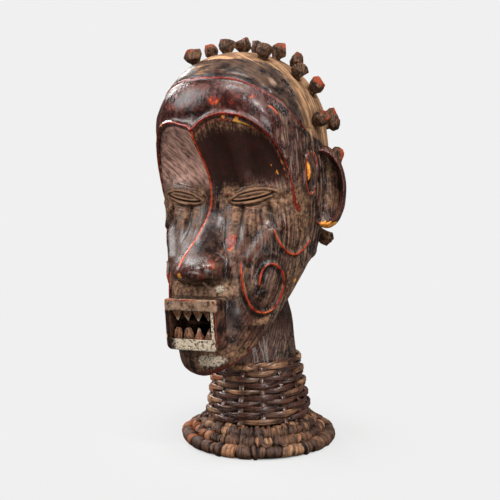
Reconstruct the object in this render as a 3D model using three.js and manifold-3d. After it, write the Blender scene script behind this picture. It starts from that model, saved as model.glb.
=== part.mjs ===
// Carved crest head on a woven cane base. Millimetres, +Z up, the face looks along -Y.
import * as THREE from 'three';
import { mergeVertices } from 'three/addons/utils/BufferGeometryUtils.js';
import Module from 'manifold-3d';

const wasm = await Module();
wasm.setup();

// Driving sizes of the head, measured in its own upright frame
const CROWN_HEIGHT = 330;
const DOME_START = 262;
const SKULL_START = 186;
const NECK_BOTTOM = 22;
const NECK_BASE_RADIUS = 40;
const NECK_TOP_RADIUS = 27.5;
const NECK_TAPER_END = 140;
const SKULL_HALF_WIDTH = 68.5;
const SKULL_BACK = 75;
const BROW_REACH = 68.5;
const CHIN_HEIGHT = 71;
const JAW_RISE = 85;
const JAW_ROUND = 6;

// The neck bends to the head's right between these heights and the head leans on above them
const BEND_START = 12;
const BEND_END = 68;
const LEAN = THREE.MathUtils.degToRad(4.2);

// The scooped arches over the eyes: centre beside the midline, half width, height above the centre
const ARCH_SIDE = 25;
const ARCH_CENTRE = 215;
const ARCH_HALF_WIDTH = 40;
const ARCH_RISE = 65;
const ARCH_POWER = 2.2;
const ARCH_HOLLOW = 8;
const RIM_HEIGHT = 1.8;

// The swelling band between the arches and the edge of the cap
const ROLL_HEIGHT = 2.4;
const ROLL_SINK = 1;
const SIDE_BAND = 245;

// The square mouth
const MOUTH_FRONT = 91;
const MOUTH_HALF_WIDTH = 24.3;
const MOUTH_BOTTOM = 94.5;
const MOUTH_TOP = 135.5;
const MOUTH_LIP = 9;
const MOUTH_WALL = 5;
const MOUTH_BACK = 66;
const MOUTH_CORNER = 4;
const MOUTH_ROOT = 50;
const TEETH_IN_ROW = 4;
const TOOTH_LENGTH = 8.5;
const TOOTH_HALF_WIDTH = 3.9;
const TOOTH_ROOT = 3;
const TOOTH_SETBACK = 7;

// The ears: shells laid back from the sides of the head, scooped out with a lip along the outer edge
const EAR = { out: 73.5, back: 12, height: 215, reach: 15, depth: 13, rise: 34 };
const EAR_TURN = THREE.MathUtils.degToRad(38);
const EAR_LIP = 3.5;
const EAR_SCOOP = 6.5;

// Wooden pegs of hair: [turn from the face in degrees, height of the foot on the skull]
const PEG_STEM = 3.8;
const PEG_ROOT = 7;
const PEG_LENGTH = 15.5;
const PEG_KNOB = 6.6;
const PEG_SIDES = 5;
const PEGS_POINT_FROM = 238;
const PEGS = [
  [-52, 322.4], [-85, 325.9], [-106, 328.8], [-170, 329.2], [173, 326.9], [76, 322.8],
  [110, 322.1], [124, 314.5], [96, 305.7], [106, 293.2], [94, 268.7], [138, 270.3],
  [125, 264.9], [123, 239.2], [118, 176.4], [-108, 308], [-118, 286], [-128, 260],
  [-126, 232], [-118, 182], [165, 304], [-158, 288], [176, 262], [-168, 226],
];

// The cane base: a woven collar round the neck and a coiled foot ring
const COLLAR_BOTTOM = 24;
const COLLAR_TOP = 72;
const COLLAR_BOTTOM_RADIUS = 45.5;
const COLLAR_TOP_RADIUS = 37.6;
const COLLAR_ROWS = 10;
const STAKES = 12;
const WEAVE_DEPTH = 0.8;
const STRAND_BULGE = 1.8;
const FOOT_RADIUS = 66;
const FOOT_COIL = 11;
const FOOT_BORE = 42.5;
const FOOT_TOP = 21.2;
const BINDINGS = 48;
const BINDING_DEPTH = 0.6;

const GAP = 0.35;
const COLUMNS = 50;
const ROWS = { neck: 4, under: 3, face: 23, roll: 4, dome: 6 };

const { clamp, degToRad, lerp, radToDeg, smoothstep } = THREE.MathUtils;

// A smooth line through [place, value] pairs
function keyed(pairs) {
  const slope = (i) => {
    const a = pairs[Math.max(i - 1, 0)];
    const b = pairs[Math.min(i + 1, pairs.length - 1)];
    return (b[1] - a[1]) / (b[0] - a[0]);
  };
  return (x) => {
    if (x <= pairs[0][0]) return pairs[0][1];
    const last = pairs.length - 1;
    if (x >= pairs[last][0]) return pairs[last][1];
    const i = pairs.findIndex((pair) => pair[0] > x) - 1;
    const [x0, y0] = pairs[i];
    const [x1, y1] = pairs[i + 1];
    const w = x1 - x0;
    const t = (x - x0) / w;
    const u = 1 - t;
    const bend = w * t * u * (slope(i) * u - slope(i + 1) * t);
    return y0 * u * u * (1 + 2 * t) + y1 * t * t * (1 + 2 * u) + bend;
  };
}

// Horizontal reach of the face without nose and mouth, of the brow above it, of the sides and of the back
const faceReach = keyed([
  [71, 79], [80, 82], [96, 83], [118, 82], [135, 78], [150, 73.5], [165, 66],
  [183, 55], [200, 47.5], [214, 43.5], [228, 44.5], [242, 49.5], [256, 58], [272, 67.5], [285, 67.5],
]);
const browReach = keyed([[186, 54], [200, 57], [215, 63.5], [232, 68], [248, 69], [DOME_START, BROW_REACH]]);
const sideReach = keyed([
  [64, 31], [81, 35], [96, 39.5], [113, 46], [136, 55], [149, 58.5], [163, 61.5], [183, 65.5],
  [200, 68.5], [220, 70.5], [245, 70], [DOME_START, SKULL_HALF_WIDTH],
]);
const backReach = keyed([
  [135, 27], [149, 32], [163, 40], [183, 54], [200, 62], [225, 71], [DOME_START, SKULL_BACK],
]);
const faceSquareness = keyed([
  [64, 3.4], [96, 3.2], [120, 2.7], [150, 2.65], [168, 2.8], [190, 3.1], [212, 3], [250, 2.4], [275, 2.2],
]);

const ridgeHeight = keyed([[214, 7], [228, 7], [242, 8], [256, 6.5], [264, 5], [272, 2], [279, 0]]);
const noseHeight = keyed([
  [141, 0], [146, 3], [149, 14], [153, 27], [160, 33.5], [166, 33], [172, 29],
  [180, 22.5], [192, 14], [203, 8.5], [214, 7],
]);
const noseHalfWidth = keyed([[141, 22], [150, 23], [160, 23], [168, 20], [176, 15], [192, 12], [214, 11]]);
const noseFullness = keyed([[150, 1.9], [160, 1.6], [172, 1.25], [190, 1.1]]);

// Height of the cap's edge, by the turn from the face in degrees
const capEdge = keyed([[0, 310], [30, 307], [50, 297], [63, 287], [72, 274], [82, 264], [100, DOME_START]]);

// Height of the jaw's lower edge, from the chin (0) round to the nape (pi)
function jawHeight(angle) {
  const turn = Math.sin(angle / 2) ** 2;
  return CHIN_HEIGHT + JAW_RISE * Math.min(turn / 0.5, 1) ** 0.76 + 14 * Math.max(turn - 0.5, 0);
}

function neckRadius(z) {
  const t = clamp((z - NECK_BOTTOM) / (NECK_TAPER_END - NECK_BOTTOM), 0, 1);
  return lerp(NECK_BASE_RADIUS, NECK_TOP_RADIUS, t);
}

function ovalRadius(angle, front, side, back, squareness) {
  const c = Math.cos(angle);
  const reach = c > 0 ? front : back;
  const power = c > 0 ? squareness : 2.05;
  return ((Math.abs(c) / reach) ** power + (Math.abs(Math.sin(angle)) / side) ** power) ** (-1 / power);
}

function domed(z, power) {
  const t = clamp((z - DOME_START) / (CROWN_HEIGHT - DOME_START), 0, 1);
  return (1 - t ** power) ** (1 / power);
}

// 0 deep in a scooped arch, 1 at its rim and beyond
function archEdge(side, z) {
  const across = Math.abs(side - ARCH_SIDE) / ARCH_HALF_WIDTH;
  const up = Math.max(z - ARCH_CENTRE, 0) / ARCH_RISE;
  return (across ** ARCH_POWER + up ** ARCH_POWER) ** (1 / ARCH_POWER);
}

function bump(distance, width) {
  return Math.exp(-((distance / width) ** 2));
}

// Raised almond of an eyelid, slanting up outward
function eyelid(side, z) {
  const along = (side - 36) / 26;
  const middle = 213.5 + (side - 36) * 0.12;
  const up = (z - middle) / 8;
  return 2.6 * Math.max(0, 1 - along * along - up * up);
}

function faceRadius(angle, z) {
  return ovalRadius(angle, faceReach(z), sideReach(z), backReach(z), faceSquareness(z));
}

// Radius of the brow and skull outside the scooped arches
function skullRadius(angle, z) {
  if (z < SKULL_START) return faceRadius(angle, z);
  const side = sideReach(z) * domed(z, 2);
  const back = backReach(z) * domed(z, 2.1);
  const skull = ovalRadius(angle, browReach(z) * domed(z, 2.4), side, back, 2.2);
  return lerp(faceRadius(angle, z), skull, smoothstep(z, SKULL_START, SKULL_START + 25));
}

// Height at which the face meets the brow: along the arches' rims, and level round the back
function rimHeight(angle) {
  const turn = Math.abs(angle);
  let z = 260;
  for (let i = 0; i < 6; i += 1) {
    const side = skullRadius(turn, z) * Math.sin(turn);
    const across = Math.min(Math.abs(side - ARCH_SIDE) / ARCH_HALF_WIDTH, 1);
    z = lerp(z, ARCH_CENTRE + ARCH_RISE * (1 - across ** ARCH_POWER) ** (1 / ARCH_POWER), 0.7);
  }
  return lerp(turn > 1.5 ? DOME_START : z, SIDE_BAND, smoothstep(turn, 1.15, 1.6));
}

// Swells the band above the arches, with a sunken line along both of its edges
function browRoll(angle, z) {
  const turn = radToDeg(Math.abs(angle));
  const low = rimHeight(angle);
  const along = clamp((z - low) / (capEdge(turn) - low), 0, 1);
  const sunken = ROLL_SINK * smoothstep(along, 0, 0.1);
  const past = smoothstep(z, capEdge(turn), capEdge(turn) + 5);
  const swell = ROLL_HEIGHT * Math.sin(Math.PI * along) ** 0.7 - sunken * (1 - past);
  return swell * (1 - smoothstep(turn, 52, 80));
}

function headRadius(angle, z) {
  const outer = skullRadius(angle, z);
  if (Math.cos(angle) <= 0) return outer;
  if (z > ARCH_CENTRE + ARCH_RISE + 4) return outer + browRoll(angle, z);
  const across = Math.abs(Math.sin(angle));
  const edge = archEdge(outer * across, z);
  const climb = clamp((edge - 0.55) / 0.45, 0, 1);
  let radius = lerp(Math.min(faceRadius(angle, z), outer), outer, 1 - Math.sqrt(1 - climb * climb));
  const side = radius * across;
  const hollow = smoothstep(z, 216, 234) * smoothstep(side, 22, 42);
  radius -= ARCH_HOLLOW * hollow * Math.sqrt(Math.max(0, 1 - edge * edge));
  radius += RIM_HEIGHT * bump((edge - 1) * 45, 2.6) * smoothstep(z, 195, 215);
  if (z > ARCH_CENTRE) radius += browRoll(angle, z);
  if (z > 214) radius += ridgeHeight(z) * Math.max(0, 1 - side / 20) ** 1.6;
  else radius += noseHeight(z) * (1 - Math.min(side / noseHalfWidth(z), 1) ** noseFullness(z));
  return radius + eyelid(side, z);
}

// The carving runs from the foot of the neck (row 0) up to the crown
function carvedPoint(angle, row) {
  const jaw = jawHeight(angle);
  if (row === 0) return [0, NECK_BOTTOM];
  let left = row - 1;
  const neckTop = lerp(104, 138, Math.sin(angle / 2) ** 2);
  if (left <= ROWS.neck) {
    const z = lerp(NECK_BOTTOM, neckTop, left / ROWS.neck);
    return [neckRadius(z), z];
  }
  left -= ROWS.neck;
  if (left < ROWS.under) {
    const t = left / ROWS.under;
    const edge = headRadius(angle, jaw + JAW_ROUND) - JAW_ROUND * 0.6;
    const sag = lerp(2, 1, smoothstep(Math.abs(angle), 0.3, 0.9));
    return [lerp(neckRadius(neckTop), edge, t), lerp(neckTop, jaw, 1 - (1 - t) ** sag)];
  }
  left -= ROWS.under;
  const rim = rimHeight(angle);
  if (left <= ROWS.face) {
    const t = left / ROWS.face;
    const z = left === ROWS.face ? rim : lerp(jaw + JAW_ROUND, rim - 1.5, t);
    return [headRadius(angle, z), z];
  }
  left -= ROWS.face;
  const cap = capEdge(radToDeg(Math.abs(angle)));
  if (left <= ROWS.roll) {
    const z = lerp(rim + 3, cap, (left - 1) / (ROWS.roll - 1));
    return [headRadius(angle, z), z];
  }
  left -= ROWS.roll;
  const start = Math.asin(clamp((cap + 3 - DOME_START) / (CROWN_HEIGHT - DOME_START), 0, 1));
  const z = lerp(DOME_START, CROWN_HEIGHT, Math.sin(lerp(start, Math.PI / 2, (left - 1) / (ROWS.dome - 1))));
  return [left >= ROWS.dome ? 0 : headRadius(angle, z), z];
}

// Settles a point of the upright head into its lean
function leaned(x, y, z) {
  const t = clamp((z - BEND_START) / (BEND_END - BEND_START), 0, 1);
  const turn = LEAN * t;
  const run = Math.max(0, z - BEND_END);
  const arc = (BEND_END - BEND_START) * t;
  const shift = arc * Math.sin(turn / 2) + run * Math.sin(turn);
  const lift = Math.min(z, BEND_START) + arc * Math.cos(turn / 2) + run * Math.cos(turn);
  return [x * Math.cos(turn) - shift, y, lift + x * Math.sin(turn)];
}

function moveVertices(geometry, place) {
  const position = geometry.attributes.position;
  const uv = geometry.attributes.uv;
  for (let i = 0; i < position.count; i += 1) {
    const [u, v] = uv ? [uv.getX(i), uv.getY(i)] : [0, 0];
    const at = place(position.getX(i), position.getY(i), position.getZ(i), u, v);
    position.setXYZ(i, ...at);
  }
  return geometry;
}

function toSolid(geometry) {
  const bare = geometry.clone();
  bare.deleteAttribute('normal');
  bare.deleteAttribute('uv');
  const merged = mergeVertices(bare, 1e-3);
  const mesh = new wasm.Mesh({
    numProp: 3,
    vertProperties: new Float32Array(merged.attributes.position.array),
    triVerts: new Uint32Array(merged.index.array),
  });
  return new wasm.Manifold(mesh);
}

function toGeometry(solid) {
  const mesh = solid.getMesh();
  const geometry = new THREE.BufferGeometry();
  geometry.setAttribute('position', new THREE.BufferAttribute(new Float32Array(mesh.vertProperties), 3));
  geometry.setIndex(new THREE.BufferAttribute(new Uint32Array(mesh.triVerts), 1));
  geometry.computeVertexNormals();
  return geometry;
}

function headGeometry() {
  const rows = 1 + Object.values(ROWS).reduce((sum, count) => sum + count);
  const geometry = new THREE.SphereGeometry(1, COLUMNS, rows);
  return moveVertices(geometry, (x, y, z, u, v) => {
    const spread = 2 * u - 1;
    const angle = Math.PI * (0.66 * spread + 0.34 * spread ** 3);
    const [radius, height] = carvedPoint(angle, Math.round(v * rows));
    return [radius * Math.sin(angle), -radius * Math.cos(angle), height];
  });
}

function boxGeometry(width, depth, height, x, y, z) {
  return new THREE.BoxGeometry(width, depth, height).translate(x, y, z);
}

// A block with rounded upright corners, standing out along -Y
function mouthBlock() {
  const half = MOUTH_HALF_WIDTH;
  const corner = MOUTH_CORNER;
  const outline = new THREE.Shape();
  outline.moveTo(-half, MOUTH_TOP - 2);
  outline.lineTo(-half, MOUTH_BOTTOM + corner);
  outline.quadraticCurveTo(-half, MOUTH_BOTTOM, -half + corner, MOUTH_BOTTOM);
  outline.lineTo(half - corner, MOUTH_BOTTOM);
  outline.quadraticCurveTo(half, MOUTH_BOTTOM, half, MOUTH_BOTTOM + corner);
  outline.lineTo(half, MOUTH_TOP - 2);
  outline.lineTo(half - 2, MOUTH_TOP);
  outline.lineTo(-half + 2, MOUTH_TOP);
  outline.closePath();
  const depth = MOUTH_FRONT - MOUTH_ROOT;
  const block = new THREE.ExtrudeGeometry(outline, { depth, bevelEnabled: false, curveSegments: 3 });
  return block.rotateX(Math.PI / 2).translate(0, -MOUTH_ROOT, 0);
}

function mouthCavity() {
  const width = 2 * (MOUTH_HALF_WIDTH - MOUTH_WALL);
  const height = MOUTH_TOP - MOUTH_BOTTOM - 2 * MOUTH_LIP;
  const depth = MOUTH_FRONT - MOUTH_BACK + 5;
  return boxGeometry(width, depth, height, 0, -MOUTH_BACK - depth / 2, (MOUTH_TOP + MOUTH_BOTTOM) / 2);
}

function earSolid(side) {
  const shell = new THREE.SphereGeometry(1, 12, 8).scale(EAR.reach, EAR.depth, EAR.rise);
  const scoop = new THREE.SphereGeometry(1, 12, 8).scale(EAR.reach, EAR.depth, EAR.rise - EAR_LIP);
  scoop.translate(-side * EAR_LIP, -EAR_SCOOP, 0);
  for (const shape of [shell, scoop]) {
    shape.rotateZ(side * EAR_TURN).translate(side * EAR.out, EAR.back, EAR.height);
  }
  return toSolid(shell).subtract(toSolid(scoop));
}

// Puts a piece built along +Z on the skull, its foot at the surface and pointing outward
function onSkull(geometry, [degrees, height]) {
  const angle = degToRad(degrees);
  const radius = headRadius(angle, height);
  const foot = new THREE.Vector3(radius * Math.sin(angle), -radius * Math.cos(angle), height);
  const outward = foot.clone().sub(new THREE.Vector3(0, 0, PEGS_POINT_FROM)).normalize();
  const turn = new THREE.Quaternion().setFromUnitVectors(new THREE.Vector3(0, 0, 1), outward);
  return geometry.applyQuaternion(turn).translate(foot.x, foot.y, foot.z);
}

function lathe(profile, segments) {
  const points = profile.map(([radius, height]) => new THREE.Vector2(radius, height));
  return new THREE.LatheGeometry(points, segments).rotateX(Math.PI / 2);
}

// Each peg is a short stem with a roughly cut knob, no two quite alike
function pegGeometry(index) {
  const wide = PEG_KNOB + 0.5 * Math.sin(index * 2.3);
  const long = PEG_LENGTH + 1.2 * Math.sin(index * 3.7);
  const stem = [[0, -PEG_ROOT], [PEG_STEM, -PEG_ROOT], [PEG_STEM, 1.5]];
  const knob = [[wide, long * 0.4], [wide * 0.86, long * 0.72], [0, long]];
  return lathe([...stem, ...knob], PEG_SIDES).rotateZ(index * 1.3);
}

// Round hole for a peg's stem, open past the curved surface
function pegSocket() {
  const deep = PEG_ROOT + GAP;
  const hole = new THREE.CylinderGeometry(PEG_STEM + 1, PEG_STEM + 1, deep + 4, 6).rotateX(Math.PI / 2);
  return hole.translate(0, 0, (4 - deep) / 2);
}

// Puts a piece built upward from the lower gum at its tooth's place
function inMouth(geometry, index, row) {
  const pitch = (2 * (MOUTH_HALF_WIDTH - MOUTH_WALL)) / TEETH_IN_ROW;
  const x = (index - (TEETH_IN_ROW - 1) / 2) * pitch;
  const gum = row === 'upper' ? MOUTH_TOP - MOUTH_LIP : MOUTH_BOTTOM + MOUTH_LIP;
  if (row === 'upper') geometry.rotateX(Math.PI);
  return geometry.translate(x, TOOTH_SETBACK - MOUTH_FRONT, gum);
}

function toothGeometry() {
  const root = [[0, -TOOTH_ROOT], [TOOTH_HALF_WIDTH * 0.82, -TOOTH_ROOT], [TOOTH_HALF_WIDTH, 0]];
  return lathe([...root, [0.7, TOOTH_LENGTH], [0, TOOTH_LENGTH + 0.3]], 4).rotateZ(Math.PI / 4);
}

function toothSocket() {
  const wide = TOOTH_HALF_WIDTH * Math.SQRT2 + 2 * GAP;
  const deep = TOOTH_ROOT + GAP + 1;
  return boxGeometry(wide, wide, deep, 0, 0, 1 - deep / 2);
}

function collarGeometry() {
  const segments = 2 * STAKES;
  const rise = COLLAR_TOP - COLLAR_BOTTOM;
  const rowHeight = rise / COLLAR_ROWS;
  const foot = COLLAR_BOTTOM - 2;
  const wall = (height) => lerp(COLLAR_BOTTOM_RADIUS, COLLAR_TOP_RADIUS, (height - COLLAR_BOTTOM) / rise);
  const bore = (height) => (neckRadius(height) + GAP) / Math.cos(Math.PI / segments) + GAP;
  const profile = [COLLAR_TOP, COLLAR_TOP - rise / 2, foot].map((height) => [bore(height), height]);
  profile.push([COLLAR_BOTTOM_RADIUS - 1.5, foot]);
  for (let row = 0; row < COLLAR_ROWS; row += 1) {
    const low = COLLAR_BOTTOM + row * rowHeight;
    const between = wall(low) - 1.2;
    profile.push([between, low + 0.4], [between + STRAND_BULGE, low + rowHeight / 2]);
  }
  profile.push([COLLAR_TOP_RADIUS - 1, COLLAR_TOP]);
  profile.push(profile[0]);
  const collar = lathe(profile, segments);
  const last = profile.length - 1;
  return moveVertices(collar, (x, y, z, u, v) => {
    const place = Math.round(v * last);
    const strand = place > 4 && place < last - 1 && place % 2 === 1;
    const weave = strand ? WEAVE_DEPTH * (-1) ** (Math.round(u * segments) + (place - 5) / 2) : 0;
    const grow = 1 + weave / Math.hypot(x, y);
    return [x * grow, y * grow, z];
  });
}

// The foot ring: three coils of bound cane stepping down to the widest one
function footGeometry() {
  const underside = [[FOOT_BORE, 1.5], [FOOT_BORE + 4, 0], [FOOT_RADIUS - 3, 0]];
  const outer = [
    [FOOT_RADIUS, 3], [FOOT_RADIUS, 8], [FOOT_RADIUS - 3, FOOT_COIL], [FOOT_RADIUS - 8, FOOT_COIL - 0.5],
  ];
  const steps = [
    [FOOT_RADIUS - 9, FOOT_COIL + 3], [FOOT_RADIUS - 13.5, FOOT_COIL + 5],
    [FOOT_RADIUS - 14.5, FOOT_COIL + 8.5], [FOOT_RADIUS - 19.5, FOOT_TOP], [FOOT_BORE, FOOT_TOP],
  ];
  const profile = [...underside, ...outer, ...steps, underside[0]];
  return moveVertices(lathe(profile, BINDINGS), (x, y, z, u) => {
    const radius = Math.hypot(x, y);
    const notch = radius > FOOT_BORE + 5 ? BINDING_DEPTH * (-1) ** Math.round(u * BINDINGS) : 0;
    return [x * (1 + notch / radius), y * (1 + notch / radius), z];
  });
}

const wood = new THREE.MeshStandardMaterial({ color: 0x3a2418, roughness: 0.45 });
const nugget = new THREE.MeshStandardMaterial({ color: 0x6b4a33, roughness: 0.7 });
const splint = new THREE.MeshStandardMaterial({ color: 0x9a7f60, roughness: 0.7 });
const cane = new THREE.MeshStandardMaterial({ color: 0x5a3d2a, roughness: 0.6 });

const group = new THREE.Group();

function addPiece(name, geometry, material) {
  const mesh = new THREE.Mesh(geometry, material);
  mesh.name = name;
  group.add(mesh);
}

let carving = toSolid(headGeometry()).add(toSolid(mouthBlock())).subtract(toSolid(mouthCavity()));
carving = carving.add(earSolid(-1)).add(earSolid(1));
for (const spot of PEGS) carving = carving.subtract(toSolid(onSkull(pegSocket(), spot)));

const teeth = ['upper', 'lower'].flatMap((row) => Array.from({ length: TEETH_IN_ROW }, (_, i) => [i, row]));
for (const [i, row] of teeth) carving = carving.subtract(toSolid(inMouth(toothSocket(), i, row)));

addPiece('head', moveVertices(toGeometry(carving), leaned), wood);
PEGS.forEach((spot, i) => {
  addPiece(`hair_peg_${i + 1}`, moveVertices(onSkull(pegGeometry(i), spot), leaned), nugget);
});
for (const [i, row] of teeth) {
  addPiece(`${row}_tooth_${i + 1}`, moveVertices(inMouth(toothGeometry(), i, row), leaned), splint);
}
addPiece('cane_collar', moveVertices(collarGeometry(), leaned), cane);
addPiece('cane_foot_ring', footGeometry(), cane);

// The origin is on the ground under the middle of the whole object
const middle = new THREE.Box3().setFromObject(group).getCenter(new THREE.Vector3());
group.position.set(-middle.x, -middle.y, 0);

export default group;
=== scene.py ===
import math
import random
from types import SimpleNamespace
import bmesh
import bpy
import numpy as np
from mathutils import Matrix, Vector, noise


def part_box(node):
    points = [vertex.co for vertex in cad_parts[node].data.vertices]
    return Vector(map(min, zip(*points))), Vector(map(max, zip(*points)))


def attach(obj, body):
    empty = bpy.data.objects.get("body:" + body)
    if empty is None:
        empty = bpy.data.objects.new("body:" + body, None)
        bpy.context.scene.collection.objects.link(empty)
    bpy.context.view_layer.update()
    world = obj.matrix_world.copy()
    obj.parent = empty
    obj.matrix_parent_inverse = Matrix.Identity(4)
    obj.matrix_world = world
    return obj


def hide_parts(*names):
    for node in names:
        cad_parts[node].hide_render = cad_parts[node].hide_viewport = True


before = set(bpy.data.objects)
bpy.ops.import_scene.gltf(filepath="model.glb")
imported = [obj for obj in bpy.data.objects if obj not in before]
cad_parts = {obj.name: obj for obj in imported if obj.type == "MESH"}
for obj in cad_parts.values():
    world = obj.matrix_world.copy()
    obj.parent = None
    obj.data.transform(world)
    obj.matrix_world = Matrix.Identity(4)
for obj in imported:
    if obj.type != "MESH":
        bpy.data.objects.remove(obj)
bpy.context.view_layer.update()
mm = 0.001
ringLow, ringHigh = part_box("cane_foot_ring")
axis = (ringLow + ringHigh) / 2  # the neck rises from the middle of the foot ring
noise.seed_set(7)  # without a seed, the noise vectors change from run to run
print("frame loaded")


def clamp01(x):
    return np.clip(x, 0, 1)


def lerp(a, b, t):
    return a + (b - a) * t


def smooth(x, low, high):
    t = clamp01((x - low) / (high - low))
    return t * t * (3 - 2 * t)


def bump(distance, width):
    return np.exp(-((distance / width) ** 2))


def keyed(pairs):
    # a smooth line through [place, value] pairs
    xs, ys = np.array(pairs, float).T
    last = len(xs) - 1
    here = np.arange(last + 1)
    after, before = np.minimum(here + 1, last), np.maximum(here - 1, 0)
    slopes = (ys[after] - ys[before]) / (xs[after] - xs[before])

    def value(x):
        x = np.clip(x, xs[0], xs[last])
        i = np.clip(np.searchsorted(xs, x, side="right") - 1, 0, last - 1)
        w = xs[i + 1] - xs[i]
        t = (x - xs[i]) / w
        u = 1 - t
        bend = w * t * u * (slopes[i] * u - slopes[i + 1] * t)
        return ys[i] * u * u * (1 + 2 * t) + ys[i + 1] * t * t * (1 + 2 * u) + bend

    return value


def readPoints(mesh):
    flat = np.empty(len(mesh.vertices) * 3)
    mesh.vertices.foreach_get("co", flat)
    return flat.reshape(-1, 3)


def readNormals(mesh):
    flat = np.empty(len(mesh.vertices) * 3)
    mesh.vertex_normals.foreach_get("vector", flat)
    return flat.reshape(-1, 3)


def writePoints(mesh, points):
    mesh.vertices.foreach_set("co", points.ravel())
    mesh.update()


def setValues(mesh, name, values):
    mesh.attributes.new(name, "FLOAT", "POINT").data.foreach_set("value", np.asarray(values, np.float32))


def setVectors(mesh, name, vectors):
    data = mesh.attributes.new(name, "FLOAT_VECTOR", "POINT").data
    data.foreach_set("vector", np.asarray(vectors, np.float32).ravel())


def cloudy(points, size, seed=0):
    # soft noise from -1 to 1 with patches of about this size
    away = Vector((seed * 17.3, seed * 5.1, seed * 9.7))
    return np.array([noise.noise(Vector(p) / size + away) for p in points])


def sharpness(mesh, points, passes):
    # how far each point stands out of its surroundings: worn edges are high, creases are low
    ends = np.empty(len(mesh.edges) * 2, np.int32)
    mesh.edges.foreach_get("vertices", ends)
    a, b = ends.reshape(-1, 2).T
    size = len(points)
    count = np.maximum(np.bincount(a, minlength=size) + np.bincount(b, minlength=size), 1)

    def around(values):
        return (np.bincount(a, values[b], size) + np.bincount(b, values[a], size)) / count

    length = np.linalg.norm(points[a] - points[b], axis=1)
    spacing = (np.bincount(a, length, size) + np.bincount(b, length, size)) / count
    soft = points.T
    for _ in range(passes):
        soft = np.array([around(values) for values in soft])
    height = ((points - soft.T) * readNormals(mesh)).sum(1) / np.maximum(spacing, 0.4)
    return around(np.clip(height, -1.5, 1.5))


def meshFrom(name, bm):
    mesh = bpy.data.meshes.new(name)
    bm.to_mesh(mesh)
    bm.free()
    return mesh


def shifted(bm, way):
    bmesh.ops.translate(bm, vec=way, verts=bm.verts)


def scaled(bm, sizes):
    bmesh.ops.scale(bm, vec=sizes, verts=bm.verts)


def turned(bm, angle, way):
    bmesh.ops.rotate(bm, matrix=Matrix.Rotation(angle, 3, way), verts=bm.verts)


def cone(bm, sides, low, high, long):
    bmesh.ops.create_cone(bm, cap_ends=True, segments=sides, radius1=low, radius2=high, depth=long)


def ball(bm, around, rings):
    bmesh.ops.create_uvsphere(bm, u_segments=around, v_segments=rings, radius=1)


def makePiece(name, mesh, material, nodes):
    mesh.materials.clear()
    mesh.materials.append(material)
    mesh.polygons.foreach_set("use_smooth", [True] * len(mesh.polygons))
    piece = bpy.data.objects.new(name, mesh)
    bpy.context.scene.collection.objects.link(piece)
    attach(piece, "root")
    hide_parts(*nodes)
    return piece


def carve(body, tool, operation):
    # joins or cuts two closed meshes and hands back the result
    scene = bpy.context.scene
    base, other = bpy.data.objects.new("base", body), bpy.data.objects.new("tool", tool)
    scene.collection.objects.link(base)
    scene.collection.objects.link(other)
    cut = base.modifiers.new("cut", "BOOLEAN")
    cut.operation, cut.object, cut.solver = operation, other, "MANIFOLD"
    bpy.context.view_layer.update()
    result = bpy.data.meshes.new_from_object(base.evaluated_get(bpy.context.evaluated_depsgraph_get()))
    bpy.data.objects.remove(base)
    bpy.data.objects.remove(other)
    return result


# The head's form, in mm and upright: angle 0 is the face, turning to the head's own left
form = {
    "crown": 330, "domeStart": 262, "skullStart": 186,
    "neckBottom": 22, "neckBase": 40, "neckTop": 27.5, "neckTaperEnd": 140,
    "chin": 71, "jawRise": 85, "jawRound": 6,
    "bendStart": 12, "bendEnd": 68, "lean": math.radians(4.2),
    "archSide": 25, "archCentre": 215, "archHalfWidth": 40, "archRise": 65, "farArchRise": 60,
    "archPower": 2.2, "archHollow": 8, "rimHeight": 1.8, "rollHeight": 2.4, "rollSink": 1, "sideBand": 245,
    "face": [[71, 79], [80, 82], [96, 83], [118, 82], [135, 78], [150, 73.5], [165, 66], [183, 55],
             [200, 47.5], [214, 43.5], [228, 44.5], [242, 49.5], [256, 58], [272, 67.5], [285, 67.5]],
    "brow": [[186, 54], [200, 57], [215, 63.5], [232, 68], [248, 69], [262, 68.5]],
    "side": [[64, 31], [81, 35], [96, 39.5], [113, 46], [136, 55], [149, 58.5], [163, 61.5], [183, 65.5],
             [200, 68.5], [220, 70.5], [245, 70], [262, 68.5]],
    "back": [[135, 27], [149, 32], [163, 40], [183, 54], [200, 62], [225, 71], [262, 75]],
    "squareness": [[64, 3.4], [96, 3.2], [120, 2.7], [150, 2.65], [168, 2.8], [190, 3.1], [212, 3],
                   [250, 2.4], [275, 2.2]],
    "ridge": [[214, 7], [228, 7], [242, 8], [256, 6.5], [264, 5], [272, 2], [279, 0]],
    "nose": [[141, 0], [146, 3], [149, 14], [153, 27], [160, 33.5], [166, 33], [172, 29], [180, 22.5],
             [192, 14], [203, 8.5], [214, 7]],
    "noseHalfWidth": [[141, 22], [150, 23], [160, 23], [168, 20], [176, 15], [192, 12], [214, 11]],
    "noseFullness": [[150, 1.9], [160, 1.6], [172, 1.25], [190, 1.1]],
    "capEdge": [[0, 310], [30, 307], [50, 297], [63, 287], [72, 274], [82, 264], [100, 262]],
    "crownLine": [[0, 324], [50, 321], [73, 316], [82, 308], [95, 300]],
    "columns": 250,
    "rows": {"neck": 14, "under": 12, "corner": 5, "face": 156, "roll": 28, "dome": 30},
}
faceReach, browReach, sideReach, backReach = (keyed(form[k]) for k in ("face", "brow", "side", "back"))
squareness, ridgeHeight, noseHeight = (keyed(form[k]) for k in ("squareness", "ridge", "nose"))
noseHalfWidth, noseFullness = keyed(form["noseHalfWidth"]), keyed(form["noseFullness"])
capEdge, crownLine = keyed(form["capEdge"]), keyed(form["crownLine"])


def jawHeight(angle):
    turn = np.sin(angle / 2) ** 2
    return form["chin"] + form["jawRise"] * np.minimum(turn / 0.5, 1) ** 0.76 + 14 * np.maximum(turn - 0.5, 0)


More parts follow.
